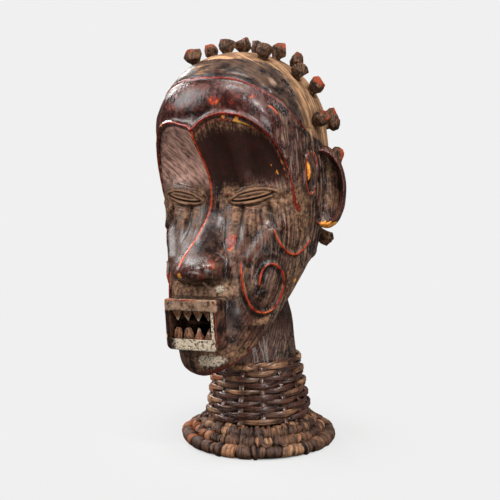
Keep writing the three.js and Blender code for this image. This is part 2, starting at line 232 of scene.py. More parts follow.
def neckRadius(z):
    t = clamp01((z - form["neckBottom"]) / (form["neckTaperEnd"] - form["neckBottom"]))
    return lerp(form["neckBase"], form["neckTop"], t)


def ovalRadius(angle, front, side, back, power):
    c = np.cos(angle)
    reach, power = np.where(c > 0, front, back), np.where(c > 0, power, 2.05)
    return ((np.abs(c) / reach) ** power + (np.abs(np.sin(angle)) / side) ** power) ** (-1 / power)


def domed(z, power):
    t = clamp01((z - form["domeStart"]) / (form["crown"] - form["domeStart"]))
    return np.maximum(1 - t ** power, 1e-9) ** (1 / power)


def archRise(x):
    # the arch on the head's own right is a little lower
    return lerp(form["farArchRise"], form["archRise"], smooth(x, -14, 2))


archScale = 45  # mm for each 1 of archEdge near the rim


def archEdge(x, z):
    # 0 deep in a scooped arch, 1 at its rim and beyond
    across = np.abs(np.abs(x) - form["archSide"]) / form["archHalfWidth"]
    up = np.maximum(z - form["archCentre"], 0) / archRise(x)
    power = form["archPower"]
    return (across ** power + up ** power) ** (1 / power)


def eyelid(side, z):
    along = (side - 36) / 26
    up = (z - 213.5 - (side - 36) * 0.12) / 8
    return 2.6 * np.maximum(0, 1 - along * along - up * up)


def faceRadius(angle, z):
    return ovalRadius(angle, faceReach(z), sideReach(z), backReach(z), squareness(z))


def skullRadius(angle, z):
    skull = ovalRadius(angle, browReach(z) * domed(z, 2.4), sideReach(z) * domed(z, 2),
                       backReach(z) * domed(z, 2.1), 2.2)
    start = form["skullStart"]
    return lerp(faceRadius(angle, z), skull, smooth(z, start, start + 25))


def rimHeight(angle):
    turn = np.abs(angle)
    z = np.full_like(turn, 260.0)
    power = form["archPower"]
    for _ in range(6):
        side = skullRadius(turn, z) * np.sin(turn)
        across = np.minimum(np.abs(side - form["archSide"]) / form["archHalfWidth"], 1)
        rise = archRise(side * np.sign(angle)) * (1 - across ** power) ** (1 / power)
        z = lerp(z, form["archCentre"] + rise, 0.7)
    z = np.where(turn > 1.5, form["domeStart"], z)
    return lerp(z, form["sideBand"], smooth(turn, 1.15, 1.6))


def browRoll(angle, z):
    turn = np.degrees(np.abs(angle))
    low, cap = rimHeight(angle), capEdge(turn)
    along = clamp01((z - low) / (cap - low))
    sunken = form["rollSink"] * smooth(along, 0, 0.1) * (1 - smooth(z, cap, cap + 5))
    return (form["rollHeight"] * np.sin(np.pi * along) ** 0.7 - sunken) * (1 - smooth(turn, 52, 80))


def headRadius(angle, z):
    angle, z = np.broadcast_arrays(np.asarray(angle, float), np.asarray(z, float))
    outer = skullRadius(angle, z)
    top = form["archCentre"] + form["archRise"] + 4
    across = np.abs(np.sin(angle))
    edge = archEdge(outer * np.sin(angle), z)
    climb = clamp01((edge - 0.55) / 0.45)
    radius = lerp(np.minimum(faceRadius(angle, z), outer), outer, 1 - np.sqrt(1 - climb * climb))
    side = radius * across
    hollow = smooth(z, 216, 234) * smooth(side, 22, 42)
    radius = radius - form["archHollow"] * hollow * np.sqrt(np.maximum(0, 1 - edge * edge))
    radius = radius + form["rimHeight"] * bump((edge - 1) * archScale, 2.6) * smooth(z, 195, 215)
    roll = browRoll(angle, z)
    radius = radius + np.where(z > form["archCentre"], roll, 0)
    ridge = ridgeHeight(z) * np.maximum(0, 1 - side / 20) ** 1.6
    blade = noseHeight(z) * (1 - np.minimum(side / noseHalfWidth(z), 1) ** noseFullness(z))
    radius = radius + np.where(z > 214, ridge, blade) + eyelid(side, z)
    radius = np.where(z > top, outer + roll, radius)
    return np.where(np.cos(angle) <= 0, outer, radius)


def onHead(degrees, z):
    angle = np.radians(degrees)
    radius = headRadius(angle, z)
    return np.stack([radius * np.sin(angle), -radius * np.cos(angle), np.asarray(z, float) + 0 * radius], -1)


def leaned(points):
    # settles upright points into the lean, over the ring's middle, and turns mm into metres
    x, y, z = points.T
    start, end = form["bendStart"], form["bendEnd"]
    t = clamp01((z - start) / (end - start))
    turn = form["lean"] * t
    run, arc = np.maximum(0, z - end), (end - start) * t
    shift = arc * np.sin(turn / 2) + run * np.sin(turn)
    lift = np.minimum(z, start) + arc * np.cos(turn / 2) + run * np.cos(turn)
    return np.stack([x * np.cos(turn) - shift, y, lift + x * np.sin(turn)], -1) * mm + (axis.x, axis.y, 0)


def carvedRows(angle, row):
    # radius and height on each row, from the foot of the neck (row 0) up to the crown
    foot, corner, crown, start = form["neckBottom"], form["jawRound"], form["crown"], form["domeStart"]
    jaw, rim, cap = jawHeight(angle), rimHeight(angle), capEdge(np.degrees(np.abs(angle)))
    neckTop = lerp(104, 138, np.sin(angle / 2) ** 2)
    chinEdge = headRadius(angle, jaw + corner)
    edge = chinEdge - corner * 0.6
    sag = lerp(2, 1, smooth(np.abs(angle), 0.3, 0.9))
    capTurn = np.arcsin(clamp01((cap - start) / (crown - start)))

    def neckRows(t):
        z = lerp(foot, neckTop, t)
        return neckRadius(z), z

    def underRows(t):
        return lerp(neckRadius(neckTop), edge, t), lerp(neckTop, jaw, 1 - (1 - t) ** sag)

    def cornerRows(t):
        turn = t * np.pi / 2
        return lerp(edge, chinEdge, np.sin(turn)), jaw + corner * (1 - np.cos(turn))

    def faceRows(t):
        z = lerp(jaw + corner, rim, t)
        return headRadius(angle, z), z

    def rollRows(t):
        z = lerp(rim, cap, t - 0.11 * np.sin(2 * np.pi * t))  # closer together at both edges
        return headRadius(angle, z), z

    def domeRows(t):
        z = lerp(start, crown, np.sin(lerp(capTurn, np.pi / 2, t)))
        return np.where(t >= 1, 0, headRadius(angle, z)), z

    radius, z = np.zeros_like(angle), np.full_like(angle, foot)
    left, first = row - 1.0, -0.5
    parts = (neckRows, underRows, cornerRows, faceRows, rollRows, domeRows)
    for part, count in zip(parts, form["rows"].values()):
        newRadius, newZ = part(clamp01(left / count))
        mine = (left > first) & (left < count + 0.5)
        radius, z = np.where(mine, newRadius, radius), np.where(mine, newZ, z)
        left, first = left - count, 0.5
    return radius, z


def distanceTo(points, path, lift=0.0):
    # distance of each point to a smooth line on (or lifted off) the head, and how far along the line it is
    steps, fine = np.arange(len(path)), np.linspace(0, len(path) - 1, 8 * len(path))
    degrees, heights = (keyed(np.stack([steps, column], 1))(fine) for column in np.array(path, float).T)
    turned = np.radians(degrees)
    line = onHead(degrees, heights) + lift * np.stack([np.sin(turned), -np.cos(turned), 0 * turned], -1)
    best, where = np.full(len(points), 99.0), np.zeros(len(points))
    close = np.flatnonzero(((points > line.min(0) - 14) & (points < line.max(0) + 14)).all(1))
    near, best0, where0 = points[close], best[close], where[close]
    for i, (a, b) in enumerate(zip(line[:-1], line[1:])):
        t = clamp01((near - a) @ (b - a) / max((b - a) @ (b - a), 1e-9))
        far = np.linalg.norm(near - a - t[:, None] * (b - a), axis=1)
        where0 = np.where(far < best0, (i + t) / (len(line) - 1), where0)
        best0 = np.minimum(far, best0)
    best[close], where[close] = best0, where0
    return best, where


# Carved lines on one side, mirrored on the other. path: [turn, height] places. high and wide: the line's own
# height and half width in mm. valley: depth of the hollows beside it, reach away. red: it is worn red between
# these shares of its length
lines = {
    "spiral": {"path": [[27.6, 168], [27.9, 156.5], [28.5, 144.5], [30.1, 134.4], [33.6, 124.5],
                        [39.5, 120.2], [46.8, 121], [53, 127], [56.9, 137], [56.8, 148], [52.6, 156],
                        [47.2, 159.2], [42.4, 156.6], [39.6, 150], [38.6, 143]],
               "high": 1.5, "wide": 1.1, "valley": 1.2, "reach": 4.0, "red": [0.03, 1]},
    "hook": {"path": [[49.3, 201], [50.2, 196.5], [51.4, 186], [54.2, 175.3], [60.3, 166.7], [66.8, 164],
                      [73.4, 165.2], [80.3, 169.7], [85.5, 176]],
             "high": 1.4, "wide": 1.1, "valley": 1.2, "reach": 3.8, "red": [0.1, 0.95]},
    "leafFront": {"path": [[83, 246], [80.6, 243.5], [78.6, 238.7], [77, 231], [76.8, 221], [79, 213],
                           [82.5, 210.5]],
                  "high": 1.1, "wide": 0.8, "valley": 0.9, "reach": 2.4, "red": [0.05, 1]},
    "leafBack": {"path": [[83, 246], [85, 242.5], [86, 234], [86, 223.4], [85.2, 214.5], [82.5, 210.5]],
                 "high": 1.1, "wide": 0.8, "valley": 0.8, "reach": 2.2, "red": [0.05, 1]},
    "earFold": {"path": [[87.5, 245], [89.6, 241], [90.4, 233.5], [90.6, 223.6]],
                "high": 0.9, "wide": 0.8, "valley": 0.5, "reach": 2.0, "red": [0.1, 1]},
    "templeCrease": {"path": [[51, 285.2], [54.9, 281.8], [57.6, 277.5], [58.7, 271], [58, 264.5],
                              [57.2, 259]],
                     "high": 0.9, "wide": 1.1, "valley": 1.0, "reach": 3.0, "red": [0.05, 0.45]},
    "templeSwell": {"path": [[44, 280], [49, 277], [53, 272], [53.6, 265], [52, 259]],
                    "high": 0.9, "wide": 4.5, "valley": 0, "reach": 1},
    "innerGroove": {"path": [[30, 206], [29, 200.5], [27.6, 193], [26.9, 184], [27, 174]],
                    "high": -2.2, "wide": 2.6, "valley": -0.4, "reach": 5.5},
    "outerGroove": {"path": [[50, 206], [50.2, 197], [52, 187], [54, 180]],
                    "high": -2.4, "wide": 2.6, "valley": -0.5, "reach": 5},
    "outerFold": {"path": [[68, 209], [65.2, 204.8], [63.4, 198.5], [60.5, 193], [57.5, 186]],
                  "high": 1.9, "wide": 4.6, "valley": 0.35, "reach": 8.5},
    "cheekFold": {"path": [[49.5, 189], [46.5, 183], [42.5, 176], [38, 169.5], [33.5, 161]],
                  "high": 2.1, "wide": 4.8, "valley": 0.35, "reach": 8.5},
    "lipFold": {"path": [[22.5, 163], [23.2, 154], [24.2, 145], [23.5, 134]],
                "high": 1.0, "wide": 3.6, "valley": 0.3, "reach": 7},
}
print("form ready")


def finePlaces(points, angle):
    # where the carving is fine enough to need smaller faces
    side = np.abs(points[:, 0])
    z, turn = points[:, 2], np.degrees(np.abs(angle))
    mirrored = np.stack([side, points[:, 1], z], 1)
    front = np.cos(angle) > 0.15
    edge = (archEdge(points[:, 0], z) - 1) * archScale
    fine = front & (side > 10) & (side < 60) & (z > 200) & (z < 224)
    fine |= front & (np.abs(edge + 0.5) < 2.2) & (z > 204)
    fine |= (np.abs(z - capEdge(turn)) < 2.2) & (turn < 84)
    fine |= front & (side < 23) & (z > 143) & (z < 172)
    fine |= front & (side < 1.8) & (z > 170) & (z < 268)
    for line in lines.values():
        if line["wide"] < 2:
            fine |= distanceTo(mirrored, line["path"])[0] < 3.2
    return fine


def headShell():
    # the whole head and neck as one closed skin, still upright and in mm
    rows = 1 + sum(form["rows"].values())
    bm = bmesh.new()
    ball(bm, form["columns"], rows)
    mesh = meshFrom("headForm", bm)
    unit = readPoints(mesh)
    spread = np.arctan2(unit[:, 0], -unit[:, 1]) / np.pi
    angle = np.pi * (0.66 * spread + 0.34 * spread ** 3)
    radius, z = carvedRows(angle, np.round(np.arccos(np.clip(-unit[:, 2], -1, 1)) / np.pi * rows))
    points = np.stack([radius * np.sin(angle), -radius * np.cos(angle), z], -1)
    writePoints(mesh, points)

    fine = finePlaces(points, angle)
    bm = bmesh.new()
    bm.from_mesh(mesh)
    edges = [e for e in bm.edges if fine[e.verts[0].index] and fine[e.verts[1].index]]
    bmesh.ops.subdivide_edges(bm, edges=edges, cuts=1, use_grid_fill=True)
    bmesh.ops.triangulate(bm, faces=[f for f in bm.faces if len(f.verts) > 4])
    mesh = meshFrom("head", bm)
    first = len(points)
    points = readPoints(mesh)
    angle = np.arctan2(points[:, 0], -points[:, 1])
    points[first:] = onHead(np.degrees(angle[first:]), points[first:, 2])
    writePoints(mesh, points)
    points += readNormals(mesh) * relief(points, angle)[:, None]
    writePoints(mesh, points)
    return mesh


eye = {"side": 34, "middle": 213, "slant": 0.15, "halfLength": 20.5, "halfHeight": 5.3, "slit": 0.5}


def eyeLines(points, angle):
    # how far along the eye each point is (-1 to 1 between its corners), its height from the middle line,
    # and the half height of the almond there
    side = np.abs(points[:, 0])
    along = (side - eye["side"]) / eye["halfLength"]
    up = points[:, 2] - eye["middle"] - (side - eye["side"]) * eye["slant"]
    half = eye["halfHeight"] * np.maximum(1 - along * along, 0.02) ** 0.75
    within = (np.cos(angle) > 0.2) * (1 - smooth(np.abs(along), 0.86, 1.12)) * (np.abs(up) < 14)
    return along, up, half, within


def relief(points, angle):
    # fine carving, as a height in mm over the form
    z = points[:, 2]
    degrees = np.degrees(np.abs(angle))
    mirrored = np.stack([np.abs(points[:, 0]), points[:, 1], z], 1)
    height = np.zeros(len(points))
    for line in lines.values():
        distance, along = distanceTo(mirrored, line["path"])
        taper = smooth(along, 0, 0.12) * (1 - smooth(along, 0.93, 1) * 0.6)
        if line["high"] < 0:
            taper = taper * (1 - smooth(along, 0.4, 1))
        height += taper * line["high"] * bump(distance, line["wide"])
        height -= taper * line["valley"] * bump(distance - line["reach"], line["reach"] * 0.55)

    # the rim's flat lip below a thin line, the cap's edge, and the thin line on the crown
    onFace = smooth(np.cos(angle), 0.05, 0.25) * smooth(z, 204, 224)
    edge = (archEdge(points[:, 0], z) - 1) * archScale
    height += onFace * (0.8 * bump(edge, 0.9) - 0.3 * bump(edge - 2.6, 1.4))
    height += onFace * (0.6 * bump(edge + 3.4, 0.8) - 0.4 * bump(edge + 1.7, 0.8)) * smooth(z, 222, 236)
    past = z - capEdge(degrees)
    height += (1 - smooth(degrees, 72, 88)) * (1.0 * bump(past + 0.6, 0.9) - 0.9 * bump(past - 1.4, 1.1))
    height -= 0.7 * bump(z - crownLine(degrees), 0.9) * (1 - smooth(degrees, 80, 95))

    # closed eyes: folds over the lid, the slit below them and a fold under it
    along, up, half, within = eyeLines(points, angle)
    lids = 0.7 * bump(up - half, 0.9) - 0.6 * bump(up - half + 1.7, 0.8) + 0.4 * bump(up - half * 0.42, 0.7)
    lids -= 0.5 * bump(up - half * 0.1, 0.6) - 0.4 * bump(up + half * 0.2, 0.6)
    lids += 0.7 * bump(up + half * 0.92, 0.8) - 0.7 * bump(up + half + 1.9, 1.3)
    lids -= 2.0 * bump(up + half * eye["slit"], 0.65) * (1 - smooth(np.abs(along), 0.8, 1.0))
    wrinkles = 0.28 * np.cos(2 * np.pi * (up - 0.1 * half) / 1.9) * (np.abs(up) < half + 6)
    height += within * (lids + 0.5 * bump(up - half - 2.6, 0.8) + wrinkles)

    # nose wings with a groove behind them
    wing = np.linalg.norm(mirrored - (14.5, -78, 160), axis=1)
    height += 2.0 * bump(wing, 7.5)
    height -= 1.3 * bump(wing - 12, 2.0) * smooth(mirrored[:, 0], 12, 18) * smooth(z, 148, 158)

    # the body of the leaf-shaped lock before each ear, and the pit in it
    height += 1.5 * bump(np.hypot((degrees - 84) * 1.17 / 5, (z - 229) / 15), 1)
    height -= 2.4 * bump(np.hypot((degrees - 80.6) * 1.17 / 2, (z - 219.5) / 5), 1)

    # folds of the dried skin on the neck, and the slight waviness of hand carving
    neck = (1 - smooth(z, 100, 135)) * smooth(z, 60, 75) * (np.hypot(points[:, 0], points[:, 1]) < 42)
    height += neck * 2.0 * cloudy(points * (1, 1, 0.16), 5.5, 3)
    height += 0.5 * cloudy(points, 19, 1) + 0.2 * cloudy(points * (1, 1, 0.5), 6, 2)
    return height * smooth(z, 26, 60)


# The square mouth, in mm: its front and back lie along -Y
mouth = {
    "front": 91, "halfWidth": 24.9, "bottom": 94.5, "top": 135.5, "lip": 9, "wall": 4.6,
    "back": 66, "root": 50, "corner": 5, "upperCorner": 1.8, "edge": 0.9, "cavityEdge": 1.2,
    "frontFaces": 1.6, "cavityFaces": 2.3, "facesTo": 70, "uneven": 0.22,
    # the ledge across the back of the cavity, [low, high] corners
    "ledge": [(-19.6, -77, 112.6), (19.6, -64, 116.4)],
}


def boxBetween(low, high):
    bm = bmesh.new()
    bmesh.ops.create_cube(bm, size=1)
    scaled(bm, [b - a for a, b in zip(low, high)])
    shifted(bm, [(a + b) / 2 for a, b in zip(low, high)])
    return bm


def bevelled(bm, edges, offset, segments):
    bmesh.ops.bevel(bm, geom=edges, offset=offset, segments=segments, affect="EDGES", profile=0.5,
                    material=-1, clamp_overlap=True)
    return bm


def gridded(bm, step, low, high):
    # small faces between two corners, so that paint and uneven hand work can show
    for side, (start, end) in enumerate(zip(low, high)):
        normal = Vector((side == 0, side == 1, side == 2))
        for place in np.arange(start + step / 2, end, step):
            bmesh.ops.bisect_plane(bm, geom=bm.verts[:] + bm.edges[:] + bm.faces[:], dist=1e-4,
                                   plane_co=normal * float(place), plane_no=normal)


def mouthBlock():
    # the square mouth stands out like a short box: soft lower corners, crisp worn front edges
    half, middle = mouth["halfWidth"], (mouth["top"] + mouth["bottom"]) / 2
    bm = boxBetween((-half, -mouth["front"], mouth["bottom"]), (half, -mouth["root"], mouth["top"]))
    upright = [e for e in bm.edges if abs(e.verts[0].co.y - e.verts[1].co.y) > 1]
    bevelled(bm, [e for e in upright if e.verts[0].co.z < middle], mouth["corner"], 6)
    high = [e for e in bm.edges if abs(e.verts[0].co.y - e.verts[1].co.y) > 1 and e.verts[0].co.z > middle]
    bevelled(bm, high, mouth["upperCorner"], 4)
    front = [e for e in bm.edges if all(v.co.y < -mouth["front"] + 0.01 for v in e.verts)]
    bevelled(bm, front, mouth["edge"], 3)
    gridded(bm, mouth["frontFaces"], (-half, -mouth["front"], mouth["bottom"]),
            (half, -mouth["facesTo"], mouth["top"]))
    for v in bm.verts:
        v.co += mouth["uneven"] * noise.noise_vector(v.co / 3.5) * min(1, max(0, (-v.co.y - 60) / 15))
    bmesh.ops.triangulate(bm, faces=bm.faces)
    return meshFrom("mouthBlock", bm)


def mouthCavity():
    half = mouth["halfWidth"] - mouth["wall"]
    bm = boxBetween((-half, -mouth["front"] - 8, mouth["bottom"] + mouth["lip"]),
                    (half, -mouth["back"], mouth["top"] - mouth["lip"]))
    bevelled(bm, bm.edges[:], mouth["cavityEdge"], 3)
    gridded(bm, mouth["cavityFaces"], (-half, -mouth["front"] - 1, mouth["bottom"]),
            (half, -mouth["back"], mouth["top"]))
    return meshFrom("cavity", bm)


def ellipsoid(middle, radii, turn=0.0, segments=28, rings=18):
    bm = bmesh.new()
    ball(bm, segments, rings)
    scaled(bm, radii)
    turned(bm, turn, "Z")
    shifted(bm, middle)
    return meshFrom("ellipsoid", bm)


# The ears: shells laid back from the sides of the head
ear = {
    "out": 71.3, "back": 10.2, "height": 215, "reach": 17.6, "depth": 13, "rise": 34,
    "turn": math.radians(38), "lip": 3.5, "scoop": 6.5,
    # [along the reach, towards the opening, up], radii: the ear hole and the knob before it
    "hole": [(-3.2, 1.0, -2), (2.1, 5, 3.4)], "knob": [(-8.4, 1.6, 1), (3.6, 3.8, 6)],
}


def earPlace(side, place):
    # from the ear's own directions (along its reach, towards its opening, up) to the head's
    turn = ear["turn"]
    x = place[0] * math.cos(turn) + place[1] * math.sin(turn)
    y = place[0] * math.sin(turn) - place[1] * math.cos(turn)
    return (side * (ear["out"] + x), ear["back"] + y, ear["height"] + place[2])


def earLocal(points):
    # the reverse, for points of both ears
    turn = ear["turn"]
    x, y = np.abs(points[:, 0]) - ear["out"], points[:, 1] - ear["back"]
    return (x * math.cos(turn) + y * math.sin(turn), x * math.sin(turn) - y * math.cos(turn),
            points[:, 2] - ear["height"])


def earShape(side):
    bm = bmesh.new()
    ball(bm, 96, 84)
    turned(bm, math.pi / 2, "X")
    mesh = meshFrom("ear", bm)
    x, y, z = readPoints(mesh).T
    lip, reach, rise = ear["lip"], ear["reach"], ear["rise"]
    shell = ear["depth"] * y
    u, w = (x * side * reach + lip) / reach, z * rise / (rise - lip)
    inside = 1 - u * u - w * w
    bowl = -ear["scoop"] + ear["depth"] * np.sqrt(np.maximum(inside, 0))
    bowl -= 1.6 * bump(np.hypot(u - 0.15, (w + 0.5) / 1.4), 0.42)  # a full lower bowl
    bowl -= 1.0 * bump(u + 0.42 - 0.25 * w * w, 0.09) * smooth(inside, 0.1, 0.3)
    bowl += 0.7 * bump(np.hypot(u, w) - 0.62, 0.12)
    front = lerp(shell, np.maximum(shell, bowl), smooth(inside, 0, 0.14))
    depth = np.where(y < 0, front, shell)
    local = np.stack([x * reach, depth, z * rise], -1)
    local += 0.3 * np.stack([cloudy(local, 7, 4), cloudy(local, 7, 5), cloudy(local, 7, 6)], -1)
    writePoints(mesh, local)
    mesh.transform(Matrix.Translation((side * ear["out"], ear["back"], ear["height"])) @ Matrix.Rotation(
        side * ear["turn"], 4, "Z"))
    return mesh


# Hair pegs: [turn from the face in degrees, height of the foot on the skull]
pegs = {
    "places": [
        [-52, 322.4], [-85, 325.9], [-106, 328.8], [-170, 329.2], [173, 326.9], [76, 322.8],
        [110, 322.1], [124, 314.5], [96, 305.7], [106, 293.2], [94, 268.7], [138, 270.3],
        [125, 264.9], [123, 239.2], [118, 176.4], [-108, 308], [-118, 286], [-128, 260],
        [-126, 232], [-118, 182], [165, 304], [-158, 288], [176, 262], [-168, 226],
    ],
    "pointFrom": 238, "stem": 3.9, "root": 6.5, "long": 13.8, "knob": 6.9, "socket": 4.6, "socketDeep": 11,
    "sides": [4, 5, 5, 6], "tilt": 0.22, "cutFrom": 2.5, "cut": 1.4, "redness": [0.2, 0.4, 0.5, 0.66],
    "facetTurn": math.radians(24),
}


def ontoSkull(bm, place):
    # turns a shape built along +Z to stand on the skull, pointing outward
    foot = Vector(onHead(place[0], float(place[1])))
    outward = (foot - Vector((0, 0, pegs["pointFrom"]))).normalized()
    bmesh.ops.rotate(bm, matrix=Vector((0, 0, 1)).rotation_difference(outward).to_matrix(), verts=bm.verts)
    shifted(bm, foot)


def pegSockets():
    holes = bmesh.new()
    for place in pegs["places"]:
        one = bmesh.new()
        cone(one, 14, pegs["socket"], pegs["socket"], pegs["socketDeep"])
        shifted(one, (0, 0, pegs["socketDeep"] / 2 - pegs["root"] - 0.4))
        ontoSkull(one, place)
        mesh = meshFrom("hole", one)
        holes.from_mesh(mesh)
        bpy.data.meshes.remove(mesh)
    return meshFrom("pegSockets", holes)


# Painted spots, by mask. Each is [strength, on "both" sides or at "one" signed turn, (degrees of turn,
# height), (reach in degrees, reach in mm)], and after them the place that it keeps to, if any
paint = {
    "rimGlow": [[0.9, "one", (34, 276), (10, 14)], [1.1, "one", (-58, 268), (9, 10)],
                [0.4, "one", (60, 234), (9, 14)]],
    "dust": [[1.0, "both", (39, 214), (27, 12)], [0.5, "both", (17, 216), (6, 9)],
             [0.6, "both", (24.6, 199), (8, 9), "cheek"], [0.7, "both", (18.5, 187), (5, 9), "cheek"],
             [0.5, "both", (36, 193), (9, 9), "cheek"], [0.5, "both", (16, 172), (5, 10), "cheek"],
             [1.5, "both", (6, 141.5), (18, 7), "front"], [0.6, "one", (8, 88), (15, 7), "front"],
             [0.5, "both", (29, 150), (4, 12)], [0.62, "both", (74, 195), (14, 30)],
             [0.45, "both", (66, 140), (16, 26)], [0.8, "both", (40, 113), (10, 3.4)],
             [0.9, "one", (18.7, 286.8), (3.6, 2.4)], [0.75, "one", (0.3, 82), (2.5, 7), "front"],
             [0.5, "both", (26, 88), (14, 9)], [0.3, "one", (-30, 290), (16, 12)]],
    "cream": [[0.95, "one", (9, 85), (9, 6), "front"], [0.5, "one", (-1, 84), (12, 7), "front"],
              [0.95, "one", (15, 141.5), (4.5, 4.5), "front"], [0.5, "one", (-2, 141), (4, 4), "front"]],
    "red": [[0.72, "both", (12.5, 163), (4.5, 7), "nose"], [0.75, "one", (19.5, 178), (5, 8)],
            [0.95, "one", (15, 291), (4.5, 4)], [0.3, "both", (28, 287), (14, 8)],
            [0.55, "one", (-8, 287), (12, 6)], [0.7, "both", (38, 96), (6, 5)], [0.4, "one", (4, 74), (9, 6)],
            [0.45, "both", (50, 150), (16, 20)], [0.5, "both", (22, 177), (6, 9)],
            [0.6, "one", (28.6, 99.6), (4, 4)], [0.5, "both", (40, 292), (26, 8), "underCap"]],
    "pale": [[0.7, "one", (13, 141.5), (13, 5), "front"]],
    "dull": [[0.85, "one", (-48, 300), (26, 34)]],
    # the dark spots: a dark patch beside the mouth, painted shade on the nose's near flank and under the
    # nostrils, and a darker leaf
    "dark": [[0.9, "one", (22, 121), (6, 10), "offMouth"], [0.9, "one", (5.5, 183), (6, 14)],
             [1.2, "both", (10, 150), (9, 3), "front"], [0.75, "both", (80, 224), (9, 30), "offEar"]],
    "leaf": [[1, "both", (80, 224), (9, 30)]],
    "pit": [[1, "both", (78.4, 218), (1.5, 4.5), "offEar"]],
    "chips": [[1.5, "both", (80.4, 230), (1.3, 9), "offEar"]],
}
# small bare chips: [turn, height] and size in mm
chipPlaces = [([54.1, 236.9], 1.0), ([57.3, 231.1], 1.7), ([70.1, 142.1], 2.0), ([-24, 134], 1.5),
              ([-31.5, 274.4], 2.4), ([22, 277.5], 1.6), ([30.5, 275.5], 1.9)]
noseTip = {"middle": (0.5, -101, 156), "size": (2.4, 5, 3)}
farAway = 20.0  # a distance in mm at which no line shows


def headPlaces(points):
    # what the masks ask of each point: its turn, what it lies on, and how far it is from the carved edges
    x, y, z = points.T
    angle = np.arctan2(x, -y)
    degrees = np.degrees(angle)
    turn, radius = np.abs(degrees), np.hypot(x, y)
    along, towards, up = earLocal(points)
    rim = np.hypot(along / ear["reach"], up / ear["rise"])
    isEar = (np.hypot(rim, towards / ear["depth"]) < 1.06) & (radius > skullRadius(angle, z) + 1.2)
    onNeck = (radius < 44) & (z < 140) & (z < jawHeight(angle) + 30) | (z < 60)
    isMouth = (y < -79) & (np.abs(x) < mouth["halfWidth"] + 0.6)
    isMouth &= (z > mouth["bottom"] - 0.6) & (z < mouth["top"] + 0.6)
    face = smooth(np.cos(angle), -0.1, 0.3) * ~isEar
    edge, past = (archEdge(x, z) - 1) * archScale, z - capEdge(turn)
    onRoll = (1 - smooth(past, -3, -1)) * smooth(edge, -1, 3) * smooth(z, 240, 262)
    return SimpleNamespace(
        points=points, mirrored=np.stack([np.abs(x), y, z], 1), x=x, y=y, z=z,
        angle=angle, degrees=degrees, turn=turn, along=along, towards=towards, up=up, rim=rim,
        isEar=isEar, onNeck=onNeck, isMouth=isMouth, skinOnly=~(isEar | onNeck | isMouth),
        face=face, edge=edge, past=past,
        inArch=face * (1 - smooth(edge, -4, -1)) * smooth(z, 216, 232),
        onRoll=onRoll * (1 - smooth(turn, 58, 74)),
        upperLip=(z > mouth["top"] - mouth["lip"] - 0.4) & (y < -mouth["front"] + 2.5),
        where={"front": (y < -62) & ~isMouth, "nose": y < -70, "underCap": past < -2, "offMouth": ~isMouth,
               "offEar": ~isEar, "cheek": lerp(0.45, 0.58, x > 0)})


def spots(p, mask):
    total = np.zeros(len(p.z))
    for strength, sides, place, size, *kept in paint[mask]:
        turn = p.turn if sides == "both" else p.degrees
        spot = bump(np.hypot((turn - place[0]) / size[0], (p.z - place[1]) / size[1]), 1)
        total += strength * spot * (p.where[kept[0]] if kept else 1)
    return total


def paintEdges(mesh, p):
    # worn edges, the curvature that also paints shade into creases and hollows, the arches' rims and the
    # cap's edge
    setValues(mesh, "wear", sharpness(mesh, p.points, 3) * ~p.onNeck * np.where(p.isMouth, 0.2, 1))
    # a broad measure of hollows, used to paint shade into them
    setValues(mesh, "hollow", sharpness(mesh, p.points, 22))
    setValues(mesh, "rimLine", np.where((p.face > 0.1) & (p.z > 198), p.edge, 2 * farAway))
    glow = 0.3 + spots(p, "rimGlow") - 0.5 * (1 - smooth(p.z, 196, 226))
    setValues(mesh, "rimGlow", np.clip(glow, 0, 1.2))
    setValues(mesh, "capLine", np.where(p.turn < 84, p.past, 1.5 * farAway))


def paintRedLines(mesh, p):
    # thin red lines: scars, the ridge of the nose and brow, the leaf, the temple and the ear's lower border
    red = np.full(len(p.z), farAway)
    for line in lines.values():
        if "red" in line:
            distance, share = distanceTo(p.mirrored, line["path"], 0.85 * line["high"])
            fromShare, toShare = line["red"]
            distance = distance + 0.35 * (line["wide"] < 1)
            red = np.minimum(red, np.where((share > fromShare) & (share < toShare), distance, farAway))
    onMidline = (p.y < -40) & (p.z > 163) & (p.z < 268) & ~p.isMouth
    red = np.minimum(red, np.abs(p.x) + np.where(onMidline, 0, farAway))
    border = p.isEar & (p.along < 1) & (p.up < -9) & (p.towards < 7)
    red = np.where(p.isEar, np.where(border, np.abs(p.rim - 0.93) * 18, farAway), red)
    topEdge = np.abs(p.z - mouth["top"] + 0.5) + np.maximum(p.x - 6, 0) * 0.4
    edges = np.minimum(topEdge + 0.5, np.abs(p.x - mouth["halfWidth"] + 0.4) + 0.75)
    red = np.where(p.isMouth, np.where(p.y < -mouth["front"] + 1.6, edges, farAway), red)
    setValues(mesh, "redLine", np.minimum(red, farAway))


def paintCuts(mesh, p):
    # painted shade in the cheeks' grooves, the leaf's pit, the ear's hole and the eyes' slits; the eyelids;
    # the two scoops
    cuts = spots(p, "pit")
    for name, wide in (("innerGroove", 2.6), ("outerGroove", 2.2)):
        distance, share = distanceTo(p.mirrored, lines[name]["path"])
        cuts = np.maximum(cuts, bump(distance, wide) * (1 - smooth(share, 0.45, 1)))
    hole = ear["hole"][0]
    cuts = np.maximum(cuts, p.isEar * bump(np.hypot((p.along - hole[0]) / 2, (p.up - hole[2]) / 3), 1.05))
    along, up, lid, within = eyeLines(p.points, p.angle)
    slit = within * bump(up + lid * eye["slit"], 0.9) * (1 - smooth(np.abs(along), 0.85, 1.05))
    setValues(mesh, "groove", np.clip(np.maximum(cuts, slit), 0, 1))
    setValues(mesh, "eyelid", within * (1 - smooth(np.abs(up) / (lid + 2.2), 0.75, 1.25)))
    setValues(mesh, "darkFacet", p.inArch * smooth(p.x, 0.3, 1.6))
    setValues(mesh, "leather", p.inArch * (1 - smooth(p.x, -1.6, -0.3)))


